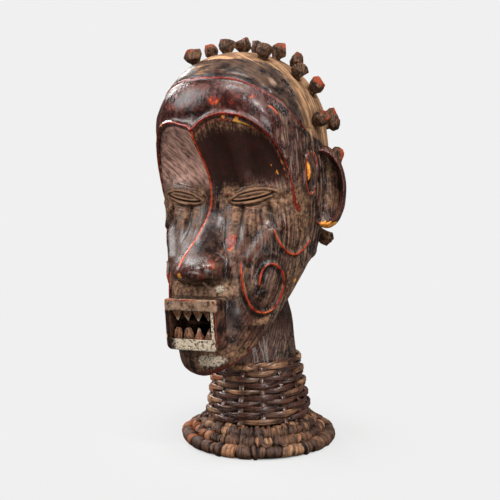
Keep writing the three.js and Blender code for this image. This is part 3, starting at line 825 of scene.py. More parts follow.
def paintDust(mesh, p):
    # tan dust, dry skin on the crown and back, the dark band round the top, and streaks
    z, turn, past, overLine = p.z, p.turn, p.past, p.z - crownLine(p.turn)
    tan = spots(p, "dust") + 0.35 * (1 - smooth(z, 205, 225)) * p.face
    tan += 0.8 * p.inArch * smooth(p.edge, -16, -3) * smooth(z, 252, 266) * (p.x > 1)
    tan += 0.75 * smooth(turn, 12, 20) * (1 - smooth(turn, 36, 46)) * bump(past + 4.5, 2.2)
    tan = np.where(p.isEar, 0.80 - 0.78 * smooth(p.rim, 0.50, 0.86), np.where(p.onNeck, 0.30, tan))
    tan = np.where(p.isMouth, 0.85 * p.upperLip + 0.36, tan)
    setValues(mesh, "dust", np.clip(tan, 0, 1.15))
    begins = 97 - 26 * smooth(z, 244, 266) - 8 * (1 - smooth(z, 165, 190))
    crown = np.maximum(smooth(overLine, -1, 2) * (turn < 96),
                       smooth(turn, begins, begins + 16) * smooth(z, 150, 200))
    crown = np.maximum(crown, 0.8 * smooth(turn, 105, 130) * smooth(z, 128, 160))
    band = smooth(past, 0.5, 2.5) * (1 - smooth(overLine, -2, 0)) * (1 - smooth(turn, 68, 84))
    setValues(mesh, "crown", crown * p.skinOnly)
    setValues(mesh, "band", band * p.skinOnly)
    streak = smooth(turn, 34, 62) * (1 - 0.8 * p.inArch) * p.skinOnly * (1 - 0.6 * (past < 0) * (z > 262))
    streak = streak * (1 - 0.6 * spots(p, "leaf"))
    setValues(mesh, "streaks", np.clip(streak + 0.55 * p.onNeck + 0.25 * p.isEar + 0.5 * band, 0, 1))


def paintMouth(mesh, p):
    # cream paint on the lips and the near post, pale skin above them, and painted shade in and round the
    # mouth and at the dark spots
    x, y, z, half = p.x, p.y, p.z, mouth["halfWidth"]
    inner, floor, roof = half - mouth["wall"], mouth["bottom"] + mouth["lip"], mouth["top"] - mouth["lip"]
    atFront = p.isMouth * smooth(-y, mouth["front"] - 4, mouth["front"] - 1.5)
    lowerLip = atFront * (1 - smooth(z, floor, floor + 1.6)) * (1 - 0.5 * smooth(x, 17, 23))
    lowerLip *= 1 - 0.8 * (1 - smooth(x, -23, -13))
    post = atFront * smooth(x, inner - 1.4, inner - 0.2) * (1 - smooth(x, half - 1.7, half - 0.8))
    post *= 1 - smooth(z, 124, 128)
    cream = lowerLip + 0.9 * post + spots(p, "cream") + 0.42 * p.upperLip * p.isMouth
    setValues(mesh, "cream", np.clip(cream, 0, 1.2))
    inside = (np.abs(x) < inner + 0.1) & (z > floor - 0.5) & (z < roof + 0.7)
    setValues(mesh, "inMouth", inside & (y < -60) & (y > -mouth["front"] + 0.8))
    pale = 0.75 * p.upperLip * p.isMouth + spots(p, "pale")
    ringMark = np.linalg.norm(p.points - onHead(61.8, 302.4), axis=1)
    setValues(mesh, "mark", bump(ringMark - 1.6, 1.3) + pale)
    # painted shade on the mouth's inner left wall
    leftWallShade = p.isMouth * (1 - smooth(x, -inner - 0.6, -inner + 0.2)) * (z < mouth["top"] - 3)
    leftWallShade *= np.abs(x) < half - 1
    # painted shade at the gum under the upper lip, and on the neck under the chin
    gum = p.isMouth * bump(z - roof - 0.3, 1.3) * (np.abs(x) < inner + 0.5)
    dark = 0.85 * leftWallShade + 0.8 * gum + spots(p, "dark") + 0.8 * p.onNeck * smooth(z, 88, 104)
    setValues(mesh, "dark", np.clip(dark, 0, 1))


def paintWear(mesh, p):
    # the red underlayer, bare chips, and the roll over the brow with its dull places
    half = mouth["halfWidth"]
    rub = spots(p, "red") * ~p.isMouth + 0.35 * p.isMouth * smooth(p.x, half - 0.9, half - 0.2)
    setValues(mesh, "red", np.clip(rub, 0, 1.2))
    fromTip = np.linalg.norm((p.points - noseTip["middle"]) / noseTip["size"], axis=1)
    chips = 1.3 * bump(fromTip, 1) + spots(p, "chips")
    for place, size in chipPlaces:
        chips += 1.4 * bump(np.linalg.norm(p.points - onHead(*place), axis=1), size)
    ragged = 3.2 * cloudy(p.points, 3.2, 8)
    chips += 1.1 * p.isEar * smooth(-p.up + ragged, 24, 31) * smooth(p.towards + ragged, -2, 4)
    chips += 1.1 * p.isMouth * (p.x < -22.8) * (bump(p.z - 133, 3) + bump(p.z - 106, 3))
    setValues(mesh, "chips", np.clip(chips, 0, 1.3))
    setValues(mesh, "roll", p.onRoll * p.skinOnly)
    setValues(mesh, "dull", np.clip(spots(p, "dull") + 0.35 * p.onRoll * (p.degrees < 36), 0, 1))


def paintFlow(mesh, p):
    # streaks run down the sides, turn forward with the jaw, follow the ear and go round the top
    z, turn = p.z, p.turn
    sweep = 0.0037 * np.maximum(185 - z, 0) ** 2 * smooth(turn, 0, 25) * (1 - smooth(turn, 110, 150))
    bent = np.radians(turn + sweep) * np.sign(p.degrees)
    flow = np.stack([67 * np.sin(bent), -67 * np.cos(bent), z], -1)
    alongEar = np.stack([p.along + 0.004 * p.up * p.up, p.towards * 0.3, p.up], -1)
    aroundTop = ((1 - smooth(turn, 66, 100)) * (p.past > 0) * (z > 240))[:, None]
    flow = lerp(flow, np.stack([p.past, 0 * z, 60 * p.angle], -1), aroundTop)
    setVectors(mesh, "flow", np.where(p.isEar[:, None], alongEar, flow) * mm)


def paintHead(mesh, points):
    # masks for the material, one number at each point
    p = headPlaces(points)
    for stage in (paintEdges, paintRedLines, paintCuts, paintDust, paintMouth, paintWear, paintFlow):
        stage(mesh, p)


class Board:
    # short words for the nodes of one material or group
    def __init__(self, tree, vector=None, colours=None):
        self.tree, self.vector, self.colours = tree, vector, colours

    def put(self, kind, inputs=(), **settings):
        node = self.tree.nodes.new(kind)
        for key, value in settings.items():
            setattr(node, key, value)
        for key, value in dict(inputs).items():
            self.set(node.inputs[key], value)
        return node

    def set(self, socket, value):
        if isinstance(value, bpy.types.NodeSocket):
            self.tree.links.new(value, socket)
        else:
            socket.default_value = (*value, 1) if socket.type == "RGBA" else value

    def math(self, operation, a, b=0.0, limit=False):
        return self.put("ShaderNodeMath", {0: a, 1: b}, operation=operation, use_clamp=limit).outputs[0]

    def times(self, *values):
        result = values[0]
        for value in values[1:]:
            result = self.math("MULTIPLY", result, value)
        return result

    def plus(self, *values):
        result = values[0]
        for value in values[1:]:
            result = self.math("ADD", result, value)
        return result

    def less(self, value, part=1.0):
        # one minus a share of the value
        return self.math("SUBTRACT", 1.0, self.times(value, part), True)

    def weighed(self, *pairs):
        # the sum of (value, weight) pairs
        return self.plus(*(self.times(value, weight) for value, weight in pairs))

    def most(self, *values):
        result = values[0]
        for value in values[1:]:
            result = self.math("MAXIMUM", result, value)
        return result

    def fade(self, value, low, high, start=0.0, end=1.0):
        inputs = {"Value": value, "From Min": low, "From Max": high, "To Min": start, "To Max": end}
        return self.put("ShaderNodeMapRange", inputs, interpolation_type="SMOOTHSTEP").outputs["Result"]

    def mix(self, factor, a, b):
        # a and b are sockets, colours or names of the board's colours
        a, b = (self.colours[value] if isinstance(value, str) else value for value in (a, b))
        return self.put("ShaderNodeMix", {0: factor, 6: a, 7: b}, data_type="RGBA").outputs[2]

    def lay(self, layer, *amounts):
        # one more colour over those laid before it
        self.colour = self.mix(self.times(*amounts), self.colour, layer)

    def painted(self, name, output="Fac"):
        return self.put("ShaderNodeAttribute", attribute_type="GEOMETRY", attribute_name=name).outputs[output]

    def cloud(self, scale, detail=5.0, rough=0.55, vector=None):
        inputs = {"Vector": vector or self.vector, "Scale": scale, "Detail": detail, "Roughness": rough}
        return self.put("ShaderNodeTexNoise", inputs).outputs["Fac"]

    def turned(self, turn, scale=(1, 1, 1)):
        inputs = {"Vector": self.vector, "Rotation": turn, "Scale": scale}
        return self.put("ShaderNodeMapping", inputs).outputs[0]

    def use(self, group, vector=None, **inputs):
        named = {key.replace("_", " "): value for key, value in inputs.items()}
        node = self.put("ShaderNodeGroup", node_tree=group)
        for key, value in {"Vector": vector or self.vector, **named}.items():
            self.set(node.inputs[key], value)
        return node.outputs[0]

    def relief(self, shader, layers):
        # each layer is (height, distance in metres, strength)
        normal = None
        for height, distance, strength in layers:
            inputs = {"Height": height, "Distance": distance, "Strength": strength}
            if normal is not None:
                inputs["Normal"] = normal
            normal = self.put("ShaderNodeBump", inputs).outputs[0]
        self.tree.links.new(normal, shader.inputs["Normal"])


def newGroup(name, floats, output):
    group = bpy.data.node_groups.new(name, "ShaderNodeTree")
    group.interface.new_socket("Vector", in_out="INPUT", socket_type="NodeSocketVector")
    for label, value in floats.items():
        group.interface.new_socket(label, in_out="INPUT", socket_type="NodeSocketFloat").default_value = value
    group.interface.new_socket(output, in_out="OUTPUT", socket_type="NodeSocketFloat")
    board = Board(group)
    given = board.put("NodeGroupInput").outputs
    board.vector = given["Vector"]
    return board, given, board.put("NodeGroupOutput").inputs[0]


def makeFibreGroup():
    # long fine streaks, as of wood fibre or combed skin, running along the vector's Z
    b, given, out = newGroup("fibreStreaks", {"Fineness": 700, "Length": 0.05, "Contrast": 1}, "Streaks")
    squeeze = b.put("ShaderNodeCombineXYZ", {"X": 1.0, "Y": 1.0, "Z": given["Length"]}).outputs[0]
    vector = b.put("ShaderNodeVectorMath", {0: b.vector, 1: squeeze}, operation="MULTIPLY").outputs[0]
    broad = b.cloud(given["Fineness"], 3.0, 0.5, vector)
    fine = b.cloud(b.times(given["Fineness"], 2.7), 2.0, 0.5, vector)
    sharp = b.fade(b.plus(b.times(broad, 0.6), b.times(fine, 0.4)), 0.36, 0.64)
    b.set(out, b.math("ADD", b.times(b.math("SUBTRACT", sharp, 0.5), given["Contrast"]), 0.5, True))
    return b.tree


def makeWearAndHighlightGroup():
    # where edges are rubbed, and on pegs and cane also where a painted highlight runs along them: the painted
    # measure, broken up by noise
    b, given, out = newGroup("edgeWearAndHighlight", {"Edge": 0, "Low": 0.1, "High": 0.3, "Patch Scale": 160}, "Worn")
    patches = b.cloud(given["Patch Scale"], 4.0)
    spread = b.math("SUBTRACT", given["High"], given["Low"])
    shift = b.times(b.math("SUBTRACT", patches, 0.5), spread, 3.0)
    b.set(out, b.fade(b.plus(given["Edge"], shift), given["Low"], given["High"]))
    return b.tree


def makeDustGroup():
    # patches of dust or grime: thick where the amount is high, spotty where it is low
    b, given, out = newGroup("dustPatches", {"Amount": 0.5, "Patch Scale": 60, "Softness": 0.25}, "Dust")
    level = b.plus(b.cloud(given["Patch Scale"], 8.0, 0.68), given["Amount"], -0.75)
    b.set(out, b.fade(level, b.math("SUBTRACT", 0.25, given["Softness"]), b.plus(0.25, given["Softness"])))
    return b.tree


fibreGroup, wearAndHighlightGroup, dustGroup = makeFibreGroup(), makeWearAndHighlightGroup(), makeDustGroup()


def newMaterial(name, colours, roughness, specular=0.5, coat=0.0):
    material = bpy.data.materials.new(name)
    material.use_nodes = True
    tree = material.node_tree
    shader = next(n for n in tree.nodes if n.type == "BSDF_PRINCIPLED")
    shader.inputs["Roughness"].default_value = roughness
    shader.inputs["Specular IOR Level"].default_value = specular
    shader.inputs["Coat Weight"].default_value = coat
    shader.inputs["Coat Roughness"].default_value = 0.2
    return material, Board(tree, tree.nodes.new("ShaderNodeTexCoord").outputs["Object"], colours), shader


skinColours = {
    "deep": (0.0090, 0.0044, 0.0038), "brown": (0.066, 0.026, 0.018), "plum": (0.056, 0.015, 0.013),
    "umber": (0.210, 0.100, 0.056), "grey": (0.340, 0.225, 0.155), "leather": (0.800, 0.470, 0.370),
    "leatherDark": (0.130, 0.066, 0.052), "facet": (0.038, 0.0185, 0.0150), "tan": (0.400, 0.225, 0.130),
    "tanDark": (0.070, 0.034, 0.020), "crown": (0.520, 0.300, 0.158), "crownDark": (0.120, 0.060, 0.032),
    "band": (0.080, 0.046, 0.031), "lid": (0.360, 0.200, 0.115), "lidDark": (0.055, 0.027, 0.017),
    "pale": (0.460, 0.310, 0.220), "cream": (0.760, 0.640, 0.480), "maroon": (0.085, 0.012, 0.009),
    "redDark": (0.130, 0.009, 0.006), "red": (0.420, 0.028, 0.008), "orange": (0.600, 0.105, 0.017),
    "yellow": (0.820, 0.400, 0.060),
}


def polishSkin(b):
    # dark polished skin, scuffed to brown here and there, with hair-like streaks on the sides
    b.colour = b.mix(b.fade(b.mid, 0.45, 0.60), "deep", "brown")
    b.lay("plum", b.fade(b.wide, 0.50, 0.62), 0.7)
    b.lay("umber", b.fade(b.scuff, 0.50, 0.64), b.fade(b.wide, 0.36, 0.60), 0.7)
    b.streaks = b.times(b.fade(b.hair, 0.50, 0.80), b.painted("streaks"), b.fade(b.mid, 0.36, 0.56))
    b.lay("grey", b.streaks, 0.85)
    b.lay("umber", b.fade(b.hair, 0.58, 0.86), b.fade(b.mid, 0.42, 0.56), 0.25)
    # the far scoop is hatched and scuffed like hide and made pale with painted light; the near one is painted
    # almost black as painted shade
    hatched = b.weighed((b.fade(b.hatch, 0.2, 0.8), 0.6), (b.fade(b.mid, 0.38, 0.6), 0.4))
    b.lay(b.mix(hatched, "leatherDark", "leather"), b.leather, 0.95)
    b.lay(b.mix(b.times(b.fade(b.mid, 0.46, 0.66), 0.6), "facet", "plum"), b.painted("darkFacet"), 0.93)


def drySkin(b):
    # a dark grey band round the top, and dry tan skin on the crown and back
    b.lay(b.mix(b.fade(b.mid, 0.40, 0.60), "deep", "band"), b.band, 0.85)
    arcs = b.use(fibreGroup, b.flow, Fineness=130, Length=0.05, Contrast=1)
    arcs = b.times(b.fade(b.weighed((b.mid, 0.6), (arcs, 0.25)), 0.46, 0.32), 0.8)
    dry = b.mix(b.fade(b.hair, 0.1, 0.8, 0.25, 1.0), "crownDark", "crown")
    level = b.plus(b.weighed((b.crown, 0.76), (b.band, 0.33), (b.hair, 0.16)), -0.08)
    b.dry = b.use(dustGroup, Amount=level, Patch_Scale=48, Softness=0.14)
    b.lay(b.mix(arcs, dry, "crownDark"), b.dry)


def dustSkin(b):
    # tan dust on the face, the eyelids, the dark places (mostly painted shade), and the maroon and pale
    # places
    dust, dark, roll = b.painted("dust"), b.painted("dark"), b.painted("roll")
    powder = b.mix(b.fade(b.weighed((b.fine, 0.4), (b.scuff, 0.6)), 0.40, 0.60), "tanDark", "tan")
    level = b.plus(b.weighed((dust, 0.66), (b.hair, 0.28)), -0.14)
    b.dust = b.times(b.use(dustGroup, Amount=level, Patch_Scale=105, Softness=0.26), b.fade(dust, 0.0, 0.25))
    b.lay(powder, b.dust, 0.9)
    # the eyelids go darker in their creases: painted shade
    lidTone = b.fade(b.weighed((b.scuff, 0.7), (b.wear, 0.7)), 0.28, 0.52)
    b.lay(b.mix(lidTone, "lidDark", "lid"), b.lids, 0.85)
    b.lay("deep", dark, b.fade(b.mid, 0.3, 0.5), 0.9)
    b.lay("deep", roll, b.fade(b.mid, 0.62, 0.42), 0.75)
    b.lay("maroon", roll, b.fade(b.wide, 0.38, 0.56), b.fade(b.scuff, 0.44, 0.60), 0.75)
    b.lay("pale", b.painted("mark"), b.fade(b.scuff, 0.36, 0.56), 0.8)
    # painted shade: creases and hollows are darkened, and slits and grooves are painted dark
    creases = b.most(b.fade(b.wear, -0.08, -0.26), b.fade(b.painted("hollow"), -0.5, -1.3))
    b.lay("deep", creases, b.less(b.most(b.crown, b.lids), 0.5), 0.8)
    b.lay("deep", b.painted("groove"), 0.92)


def rubbedSkin(b):
    # the red underlayer shows in rubbed patches, and in thin lines along the carved edges
    red = b.painted("red")
    rubbed = b.use(dustGroup, Amount=b.times(red, 0.66), Patch_Scale=150, Softness=0.12)
    underlayer = b.mix(b.fade(b.scuff, 0.42, 0.56), "redDark", "red")
    underlayer = b.mix(b.fade(b.plus(b.scuff, b.times(red, 0.12)), 0.60, 0.70), underlayer, "orange")
    b.lay(underlayer, rubbed, 0.8)
    worn = b.use(wearAndHighlightGroup, Edge=b.wear, Low=0.12, High=0.26, Patch_Scale=70)
    b.lay("redDark", worn, b.less(b.most(b.crown, b.lids, b.painted("streaks")), 0.8), 0.6)
    scar = b.fade(b.plus(b.painted("redLine"), b.times(b.scuff, 1.6)), 2.0, 1.3)
    scarColour = b.mix(b.fade(b.mid, 0.40, 0.52), "redDark", "red")
    scarColour = b.mix(b.fade(b.weighed((b.scuff, 0.6), (b.wide, 0.4)), 0.47, 0.58), scarColour, "orange")
    b.lay(scarColour, scar, b.fade(b.mid, 0.26, 0.38))


def rimSkin(b):
    # red, orange and yellow lines along the arches' rims, and a red one at the cap's edge
    def line(distance, shift, grain, share, start, end):
        return b.fade(b.plus(b.math("ABSOLUTE", b.plus(distance, shift)), b.times(grain, share)), start, end)

    rim, glow = b.painted("rimLine"), b.painted("rimGlow")
    rimColour = b.mix(b.fade(b.plus(b.fine, b.times(glow, 0.5)), 0.66, 0.90), "redDark", "orange")
    rimColour = b.mix(b.fade(b.plus(b.scuff, b.times(glow, 0.35)), 0.74, 0.84), rimColour, "yellow")
    low = b.times(line(rim, 3.5, b.mid, 2.0, 2.0, 1.2), b.fade(b.scuff, 0.42, 0.52))
    b.lay(rimColour, low, b.math("MINIMUM", glow, 1.0))
    red = b.mix(b.fade(b.fine, 0.44, 0.68), "redDark", "red")
    b.lay(red, line(rim, -0.1, b.mid, 1.6, 1.9, 1.2), 0.92)
    b.lay(red, line(b.painted("capLine"), 0.5, b.fine, 1.2, 1.6, 1.0), b.fade(b.mid, 0.30, 0.44), 0.95)


def mouthSkin(b):
    # cream paint on the lower lip, bare chips, and painted shade inside the mouth
    cream = b.painted("cream")
    level = b.plus(b.weighed((cream, 0.74), (b.mid, 0.8)), -0.40)
    patches = b.use(dustGroup, Amount=level, Patch_Scale=420, Softness=0.12)
    b.cream = b.times(patches, b.fade(cream, 0.02, 0.3))
    b.lay(b.mix(b.fade(b.grit, 0.39, 0.52), "tanDark", "cream"), b.cream)
    chips = b.use(dustGroup, Amount=b.times(b.painted("chips"), 0.72), Patch_Scale=260, Softness=0.06)
    b.lay(b.mix(b.fade(b.scuff, 0.38, 0.56), "orange", "yellow"), chips)
    b.lay(b.mix(b.fade(b.mid, 0.45, 0.65), "deep", "tanDark"), b.painted("inMouth"), 0.92)


def shineSkin(b, shader):
    # polish, coat and highlights are weaker on dust, dry skin, cream, the scoops and the dull places
    facet, dull = b.painted("darkFacet"), b.painted("dull")
    matte = b.most(b.dust, b.cream, b.dry, b.times(b.lids, 0.8))
    rough = b.plus(b.fade(b.mid, 0.34, 0.62, 0.10, 0.26), b.fade(b.scuff, 0.48, 0.60, 0.0, 0.13),
                   b.weighed((matte, 0.40), (b.leather, 0.22), (b.band, 0.16)))
    coat = b.times(b.fade(matte, 0.0, 0.6, 0.2, 0.0), b.less(b.most(facet, dull)))
    dark = b.most(facet, matte, b.times(b.band, 0.8), b.painted("dark"), dull, b.painted("inMouth"))
    b.set(shader.inputs["Roughness"], b.math("ADD", rough, b.times(b.streaks, 0.18), True))
    b.set(shader.inputs["Coat Weight"], coat)
    b.set(shader.inputs["Specular IOR Level"], b.fade(dark, 0.0, 1.0, 0.36, 0.10))
    hairy = b.plus(b.times(b.crown, 0.8), b.painted("streaks"), 0.15)
    b.relief(shader, [(b.mid, 0.0012, 0.45), (b.times(b.hair, hairy), 0.0010, 0.6),
                      (b.times(b.hatch, b.leather), 0.0006, 0.6), (b.scuff, 0.0008, 0.45),
                      (b.times(b.cream, b.grit), 0.0018, 0.7)])


def makeSkin():
    material, b, shader = newMaterial("polishedSkin", skinColours, 0.3, 0.45, 0.12)
    b.flow = b.painted("flow", "Vector")
    b.fine, b.mid, b.wide = b.cloud(420, 4), b.cloud(95, 7, 0.62), b.cloud(26, 6)
    b.scuff, b.grit = b.cloud(230, 9, 0.72), b.cloud(620, 5, 0.7)
    b.hair = b.use(fibreGroup, b.flow, Fineness=560, Length=0.05, Contrast=1)
    b.hatch = b.use(fibreGroup, b.turned((0, 0.86, 0)), Fineness=430, Length=0.09, Contrast=1)
    b.wear, b.crown, b.band = b.painted("wear"), b.painted("crown"), b.painted("band")
    b.lids, b.leather = b.painted("eyelid"), b.painted("leather")
    for stage in (polishSkin, drySkin, dustSkin, rubbedSkin, rimSkin, mouthSkin):
        stage(b)
    b.set(shader.inputs["Base Color"], b.colour)
    shineSkin(b, shader)
    return material


skin = makeSkin()
print("skin material ready")


nostril = [(9.5, -84, 146.5), (4.6, 8.5, 7)]  # its middle on the head's left, and its radii


def buildHead():
    mesh = carve(headShell(), mouthBlock(), "UNION")
    mesh = carve(mesh, mouthCavity(), "DIFFERENCE")
    ledge = boxBetween(*mouth["ledge"])
    mesh = carve(mesh, meshFrom("ledge", bevelled(ledge, ledge.edges[:], mouth["cavityEdge"], 2)), "UNION")
    (x, y, z), nostrilSize = nostril
    for side in (-1, 1):
        mesh = carve(mesh, ellipsoid((side * x, y, z), nostrilSize), "DIFFERENCE")
        turn, (hole, holeSize), (knob, knobSize) = side * ear["turn"], ear["hole"], ear["knob"]
        shell = carve(earShape(side), ellipsoid(earPlace(side, hole), holeSize, turn), "DIFFERENCE")
        mesh = carve(mesh, shell, "UNION")
        mesh = carve(mesh, ellipsoid(earPlace(side, knob), knobSize, turn, 36, 26), "UNION")
    mesh = carve(mesh, pegSockets(), "DIFFERENCE")
    points = readPoints(mesh)
    paintHead(mesh, points)
    writePoints(mesh, leaned(points))
    return makePiece("carvedHead", mesh, skin, ["head"])


head = buildHead()
print("head ready:", len(head.data.polygons), "faces")

woodColours = {
    "peg": (0.105, 0.047, 0.024), "pegDark": (0.010, 0.005, 0.003), "pegPale": (0.240, 0.120, 0.060),
    "pegRed": (0.340, 0.046, 0.010), "tooth": (0.370, 0.180, 0.088), "toothDark": (0.060, 0.026, 0.014),
    "toothTip": (0.720, 0.560, 0.400),
}


def makePegWood():
    # dry brown wood with red left on some knobs, paler raised edges as a painted highlight, and painted shade
    # in its creases
    material, b, shader = newMaterial("pegWood", woodColours, 0.62, 0.22)
    grain = b.use(fibreGroup, b.turned((0.3, 0.2, 0)), Fineness=480, Length=0.2, Contrast=1)
    mid, fine, wear = b.cloud(290, 8, 0.7), b.cloud(700, 4), b.painted("wear")
    b.colour = b.mix(b.fade(mid, 0.44, 0.60), "pegDark", "peg")
    b.lay("pegPale", b.fade(grain, 0.5, 0.9), 0.5)
    b.lay("pegRed", b.use(dustGroup, Amount=b.painted("top"), Patch_Scale=130, Softness=0.12), 0.8)
    b.lay("pegPale", b.use(wearAndHighlightGroup, Edge=wear, Low=0.40, High=0.85, Patch_Scale=190), 0.4)
    b.lay("pegDark", b.fade(wear, -0.05, -0.30))
    b.set(shader.inputs["Base Color"], b.colour)
    b.set(shader.inputs["Roughness"], b.fade(mid, 0.3, 0.7, 0.5, 0.75))
    b.relief(shader, [(mid, 0.0018, 0.7), (grain, 0.0009, 0.6), (fine, 0.0004, 0.3)])
    return material


def makeToothWood():
    # split cane, pale at the tip, and darkened at the gum by painted shade
    material, b, shader = newMaterial("toothSplint", woodColours, 0.6, 0.35)
    grain = b.use(fibreGroup, Fineness=900, Length=0.12, Contrast=1)
    mid, top = b.cloud(240, 6, 0.6), b.painted("top")
    b.colour = b.mix(b.fade(grain, 0.25, 0.8), "toothDark", "tooth")
    b.lay("toothTip", b.fade(b.weighed((top, 1.0), (mid, 0.5)), 0.70, 1.15))
    b.lay("toothDark", b.fade(mid, 0.52, 0.38), 0.8)
    # painted shade at the gum
    b.lay("toothDark", b.fade(top, 0.16, 0.0, 0.0, 0.85))
    b.lay(b.mix(b.fade(mid, 0.4, 0.6), "toothDark", "pegRed"), b.painted("stain"))
    b.set(shader.inputs["Base Color"], b.colour)
    b.set(shader.inputs["Roughness"], b.fade(mid, 0.3, 0.7, 0.45, 0.75))
    b.relief(shader, [(mid, 0.0007, 0.5), (grain, 0.0004, 0.5)])
    return material


pegWood, toothWood = makePegWood(), makeToothWood()


def growRings(bm, rings):
    # pulls the top face up through rings of [height, radius], as a turned or whittled shape
    top = max(bm.faces, key=lambda f: f.calc_center_median().z)
    heightNow, radiusNow = rings[0]
    for height, radius in rings[1:]:
        top = bmesh.ops.extrude_discrete_faces(bm, faces=[top])["faces"][0]
        bmesh.ops.translate(bm, vec=(0, 0, height - heightNow), verts=top.verts)
        bmesh.ops.scale(bm, vec=(radius / radiusNow, radius / radiusNow, 1), verts=top.verts)
        heightNow, radiusNow = height, radius


def roughened(bm, longest, amount, size, seed):
    # smaller faces with a slightly uneven, hand-cut surface
    edges = [e for e in bm.edges if e.calc_length() > longest]
    bmesh.ops.subdivide_edges(bm, edges=edges, cuts=2, use_grid_fill=True)
    bmesh.ops.triangulate(bm, faces=bm.faces)
    for v in bm.verts:
        v.co += amount * noise.noise_vector(v.co / size + Vector((seed * 7.7, seed * 3.1, seed * 5.3)))


def buildPeg(index, place):
    # a short stem and a roughly chopped, many-sided knob
    chance = random.Random(index + 11)
    stem, sides = pegs["stem"], chance.choice(pegs["sides"])
    wide, long = pegs["knob"] * chance.uniform(0.94, 1.1), pegs["long"] * chance.uniform(0.92, 1.04)
    bm = bmesh.new()
    cone(bm, sides, stem * 0.9, stem, pegs["root"])
    shifted(bm, (0, 0, -pegs["root"] / 2))
    growRings(bm, [[0, stem], [1.2, stem * 1.05], [long * 0.36, wide * 0.96],
                   [long * chance.uniform(0.6, 0.68), wide], [long * 0.92, wide * chance.uniform(0.5, 0.68)]])
    turned(bm, index * 1.3, "Z")
    tiltX, tiltY = (chance.uniform(-pegs["tilt"], pegs["tilt"]) for _ in range(2))
    for v in bm.verts:
        if v.co.z > pegs["cutFrom"]:
            v.co += Vector([chance.uniform(-pegs["cut"], pegs["cut"]) for _ in range(3)])
        if v.co.z > long * 0.8:
            v.co.z += v.co.x * tiltX + v.co.y * tiltY
    bevelled(bm, bm.edges[:], 0.35, 1)
    roughened(bm, 1.6, 0.13, 1.8, index)
    layer = bm.verts.layers.float.new("top")
    redness = chance.choice(pegs["redness"])
    for v in bm.verts:
        v[layer] = redness * float(smooth(v.co.z, long * 0.3, long * 0.9))
    ontoSkull(bm, place)
    mesh = meshFrom(f"peg{index + 1}", bm)
    points = readPoints(mesh)
    setValues(mesh, "wear", sharpness(mesh, points, 3))
    writePoints(mesh, leaned(points))
    piece = makePiece(f"hairPeg{index + 1}", mesh, pegWood, [f"hair_peg_{index + 1}"])
    mesh.set_sharp_from_angle(angle=pegs["facetTurn"])
    return piece


for i, place in enumerate(pegs["places"]):
    buildPeg(i, place)
print("hair pegs ready")

teeth = {
    "inRow": 4, "long": 8.9, "root": 2.6, "halfWidth": 3.8, "thick": 2.7, "setBack": 4.6,
    # [share of the length, share of the width] of a sharp and of a broken tooth, from the gum up
    "sharp": [[0.35, 0.76], [0.75, 0.36], [1, 0.13]], "blunt": [[0.35, 0.88], [0.75, 0.72], [1, 0.42]],
    # how pale the tips are, how dark each lower tooth is stained, and how uneven each row's surface is
    "pale": {"sharp": 0.95, "blunt": 0.4}, "stains": [0.1, 0.0, 0.45, 0.0],
    "uneven": {"upper": 0.3, "lower": 0.55}, "seeds": {"upper": [40, 5], "lower": [60, 9]}, "bluntLower": 2,
}


def buildTooth(index, row):
    upper = row == "upper"
    kind = "blunt" if not upper and index < teeth["bluntLower"] else "sharp"
    cutSeed, surfaceSeed = teeth["seeds"][row]
    long = teeth["long"] * random.Random(index + cutSeed).uniform(0.94, 1.0)
    bm = bmesh.new()
    cone(bm, 4, 1.25, math.sqrt(2), teeth["root"])
    turned(bm, math.pi / 4, "Z")
    shifted(bm, (0, 0, -teeth["root"] / 2))
    growRings(bm, [[0, 1]] + [[long * height, wide] for height, wide in teeth[kind]])
    scaled(bm, (teeth["halfWidth"], teeth["thick"], 1))
    bevelled(bm, bm.edges[:], 0.35, 2)
    roughened(bm, 1.2, teeth["uneven"][row], 2.6, index + surfaceSeed)
    top, stain = bm.verts.layers.float.new("top"), bm.verts.layers.float.new("stain")
    for v in bm.verts:
        v[top] = teeth["pale"][kind] * float(clamp01(v.co.z / long))
        v[stain] = 0 if upper else teeth["stains"][index]
    if upper:
        turned(bm, math.pi, "X")
    pitch = 2 * (mouth["halfWidth"] - mouth["wall"]) / teeth["inRow"]
    gum = mouth["top"] - mouth["lip"] if upper else mouth["bottom"] + mouth["lip"]
    shifted(bm, ((index - (teeth["inRow"] - 1) / 2) * pitch, teeth["setBack"] - mouth["front"], gum))
    mesh = meshFrom(f"{row}Tooth{index + 1}", bm)
    writePoints(mesh, leaned(readPoints(mesh)))
    return makePiece(f"{row}Tooth{index + 1}", mesh, toothWood, [f"{row}_tooth_{index + 1}"])


for row in ("upper", "lower"):
    for i in range(teeth["inRow"]):
        buildTooth(i, row)
print("teeth ready")

caneColours = {
    "collar": {"dark": (0.010, 0.0050, 0.0036), "middle": (0.230, 0.104, 0.054),
               "light": (0.560, 0.285, 0.140),
               "polished": (0.110, 0.044, 0.029), "orange": (0.480, 0.120, 0.032)},
    "foot": {"dark": (0.010, 0.0052, 0.0035), "middle": (0.170, 0.076, 0.038),
             "light": (0.460, 0.235, 0.120),
             "polished": (0.075, 0.032, 0.019), "orange": (0.480, 0.120, 0.032)},
}


